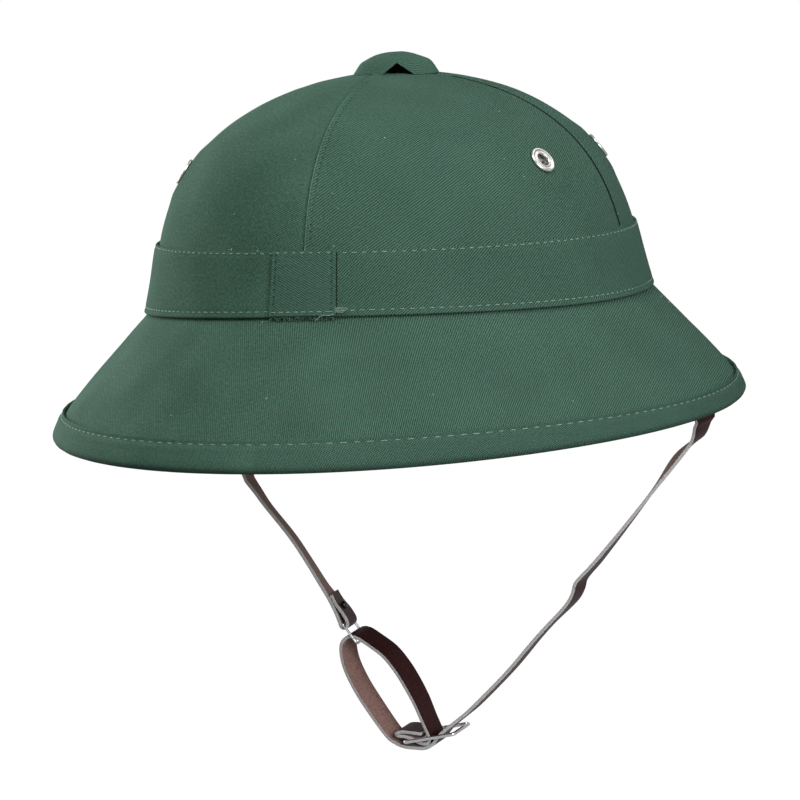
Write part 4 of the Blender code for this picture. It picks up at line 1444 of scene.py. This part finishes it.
def make_lint():
    """Specks of cotton that cling to the cloth."""
    luck = random.Random(5)
    spots = []
    for _ in range(LINT_COUNT):
        turn = luck.uniform(0, 2 * math.pi)
        station = luck.uniform(-0.78, 0.9)
        if 0.0 < station < 0.31:
            continue
        normal = skin_normal(turn, station)
        along = normal.orthogonal().normalized()
        along.rotate(Matrix.Rotation(luck.uniform(0, 6.28), 3, normal))
        spots.append((layer(turn, station, 0.0001), along, normal))
    sew("lint_specks", spots, LINT, 8, length=0.0008, radius=0.00013)


# The studio

# The lights: where they stand round the hat and above it in degrees, and their power in
# watts. All are discs of one size at one distance.
LIGHT_DISC = 0.9
LIGHT_DISTANCE = 1.4
FLOOR_SIZE = 14.0
FLOOR_HEIGHT = -0.62
# How much the backdrop is dimmed as a light on rough faces, and in reflections.
DIFFUSE_DIMMING = 0.9
GLOSS_DIMMING = 0.55
LIGHTS = (
    ("front_high", 0, 60, 7.9),
    ("front_low", 50, 15, 9.4),
    ("right", 75, 25, 1.3),
    ("right_back", 130, 50, 3.2),
    ("left_edge", 250, 10, 20.0),
)


def make_studio():
    choose()
    bpy.ops.mesh.primitive_plane_add(size=FLOOR_SIZE, location=(0.0, 0.0, FLOOR_HEIGHT))
    floor = named("studio_floor")
    # White paper lit from below: even, without a shadow, and neither its light nor its
    # reflection falls on the hat.
    paper = new_finish(
        "lit_white_paper", Base_Color=hex_colour("#404040"), Roughness=0.95,
        Emission_Color=hex_colour("#ffffff"), Emission_Strength=1.0
    )[0]
    floor.data.materials.append(paper)
    floor.visible_diffuse = False
    floor.visible_glossy = False
    world = bpy.data.worlds.new("studio")
    bpy.context.scene.world = world
    world.use_nodes = True
    backdrop = world.node_tree.nodes["Background"]
    backdrop.inputs["Color"].default_value = (1.0, 1.0, 1.0, 1.0)
    # A white backdrop that gives little light of its own and stands grey in reflections.
    path = add_node(world.node_tree, "ShaderNodeLightPath")
    dimmed = add_node(
        world.node_tree, "ShaderNodeMath", {1: -DIFFUSE_DIMMING, 2: 1.0},
        {0: path.outputs["Is Diffuse Ray"]}, operation="MULTIPLY_ADD"
    )
    strength = add_node(
        world.node_tree, "ShaderNodeMath", {1: -GLOSS_DIMMING},
        {0: path.outputs["Is Glossy Ray"], 2: dimmed.outputs[0]}, operation="MULTIPLY_ADD"
    )
    world.node_tree.links.new(strength.outputs[0], backdrop.inputs["Strength"])
    for name, azimuth, elevation, power in LIGHTS:
        light = bpy.data.lights.new(name, "AREA")
        light.shape = "DISK"
        light.size = LIGHT_DISC
        light.energy = power
        lamp = link_up(name, light)
        away = direction(math.radians(azimuth), math.radians(elevation))
        lamp.location = away * LIGHT_DISTANCE
        lamp.rotation_euler = away.to_track_quat("Z", "Y").to_euler()
    bpy.context.scene.view_settings.view_transform = "Standard"


def make_camera():
    back = direction(CAMERA_AZIMUTH, CAMERA_ELEVATION)
    right = Vector((math.cos(CAMERA_AZIMUTH), math.sin(CAMERA_AZIMUTH), 0.0))
    up = back.cross(right)
    x_axis = right * math.cos(CAMERA_ROLL) - up * math.sin(CAMERA_ROLL)
    y_axis = right * math.sin(CAMERA_ROLL) + up * math.cos(CAMERA_ROLL)
    turn = Matrix((x_axis, y_axis, back)).transposed().to_4x4()
    data = bpy.data.cameras.new("camera")
    data.sensor_width = 36.0
    data.lens = CAMERA_LENS_MM
    camera = link_up("camera", data)
    camera.matrix_world = Matrix.Translation(CAMERA_TARGET + back * CAMERA_DISTANCE) @ turn
    bpy.context.scene.camera = camera


def dress_node(name, finish):
    """Gives a solid that stays in view its finish."""
    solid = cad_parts[name]
    solid.data.materials.clear()
    solid.data.materials.append(finish)


make_camera()
make_studio()
make_shell()
crown_panels = make_crown()
brim_cloth = make_brim()
make_band()
make_band_end()
hem_cloth = make_hem()
sew_band()
sew_hem()
sew_band_end()
make_seams()
make_eyelets()
make_cap()
rivet_place, rivet_axis = make_rivet()
long_strap = make_strap(
    "chin_strap_long_leather", 1, LONG_STRAP, (GLAZED_LEATHER, SUEDE_LEATHER, CUT_LEATHER),
    "chin_strap_long"
)
short_strap = make_strap(
    "chin_strap_short_leather", -1, SHORT_STRAP, (SUEDE_LEATHER, GLAZED_LEATHER, CUT_LEATHER),
    "chin_strap_short"
)
pierce(short_strap[0], rivet_place, rivet_axis, 0.0013)
finish_strap(long_strap)
finish_strap(short_strap)
make_slide()
make_ring()
for stud in ("strap_stud_right", "strap_stud_left"):
    dress_node(stud, WIRE)
make_fibres()
make_lint()
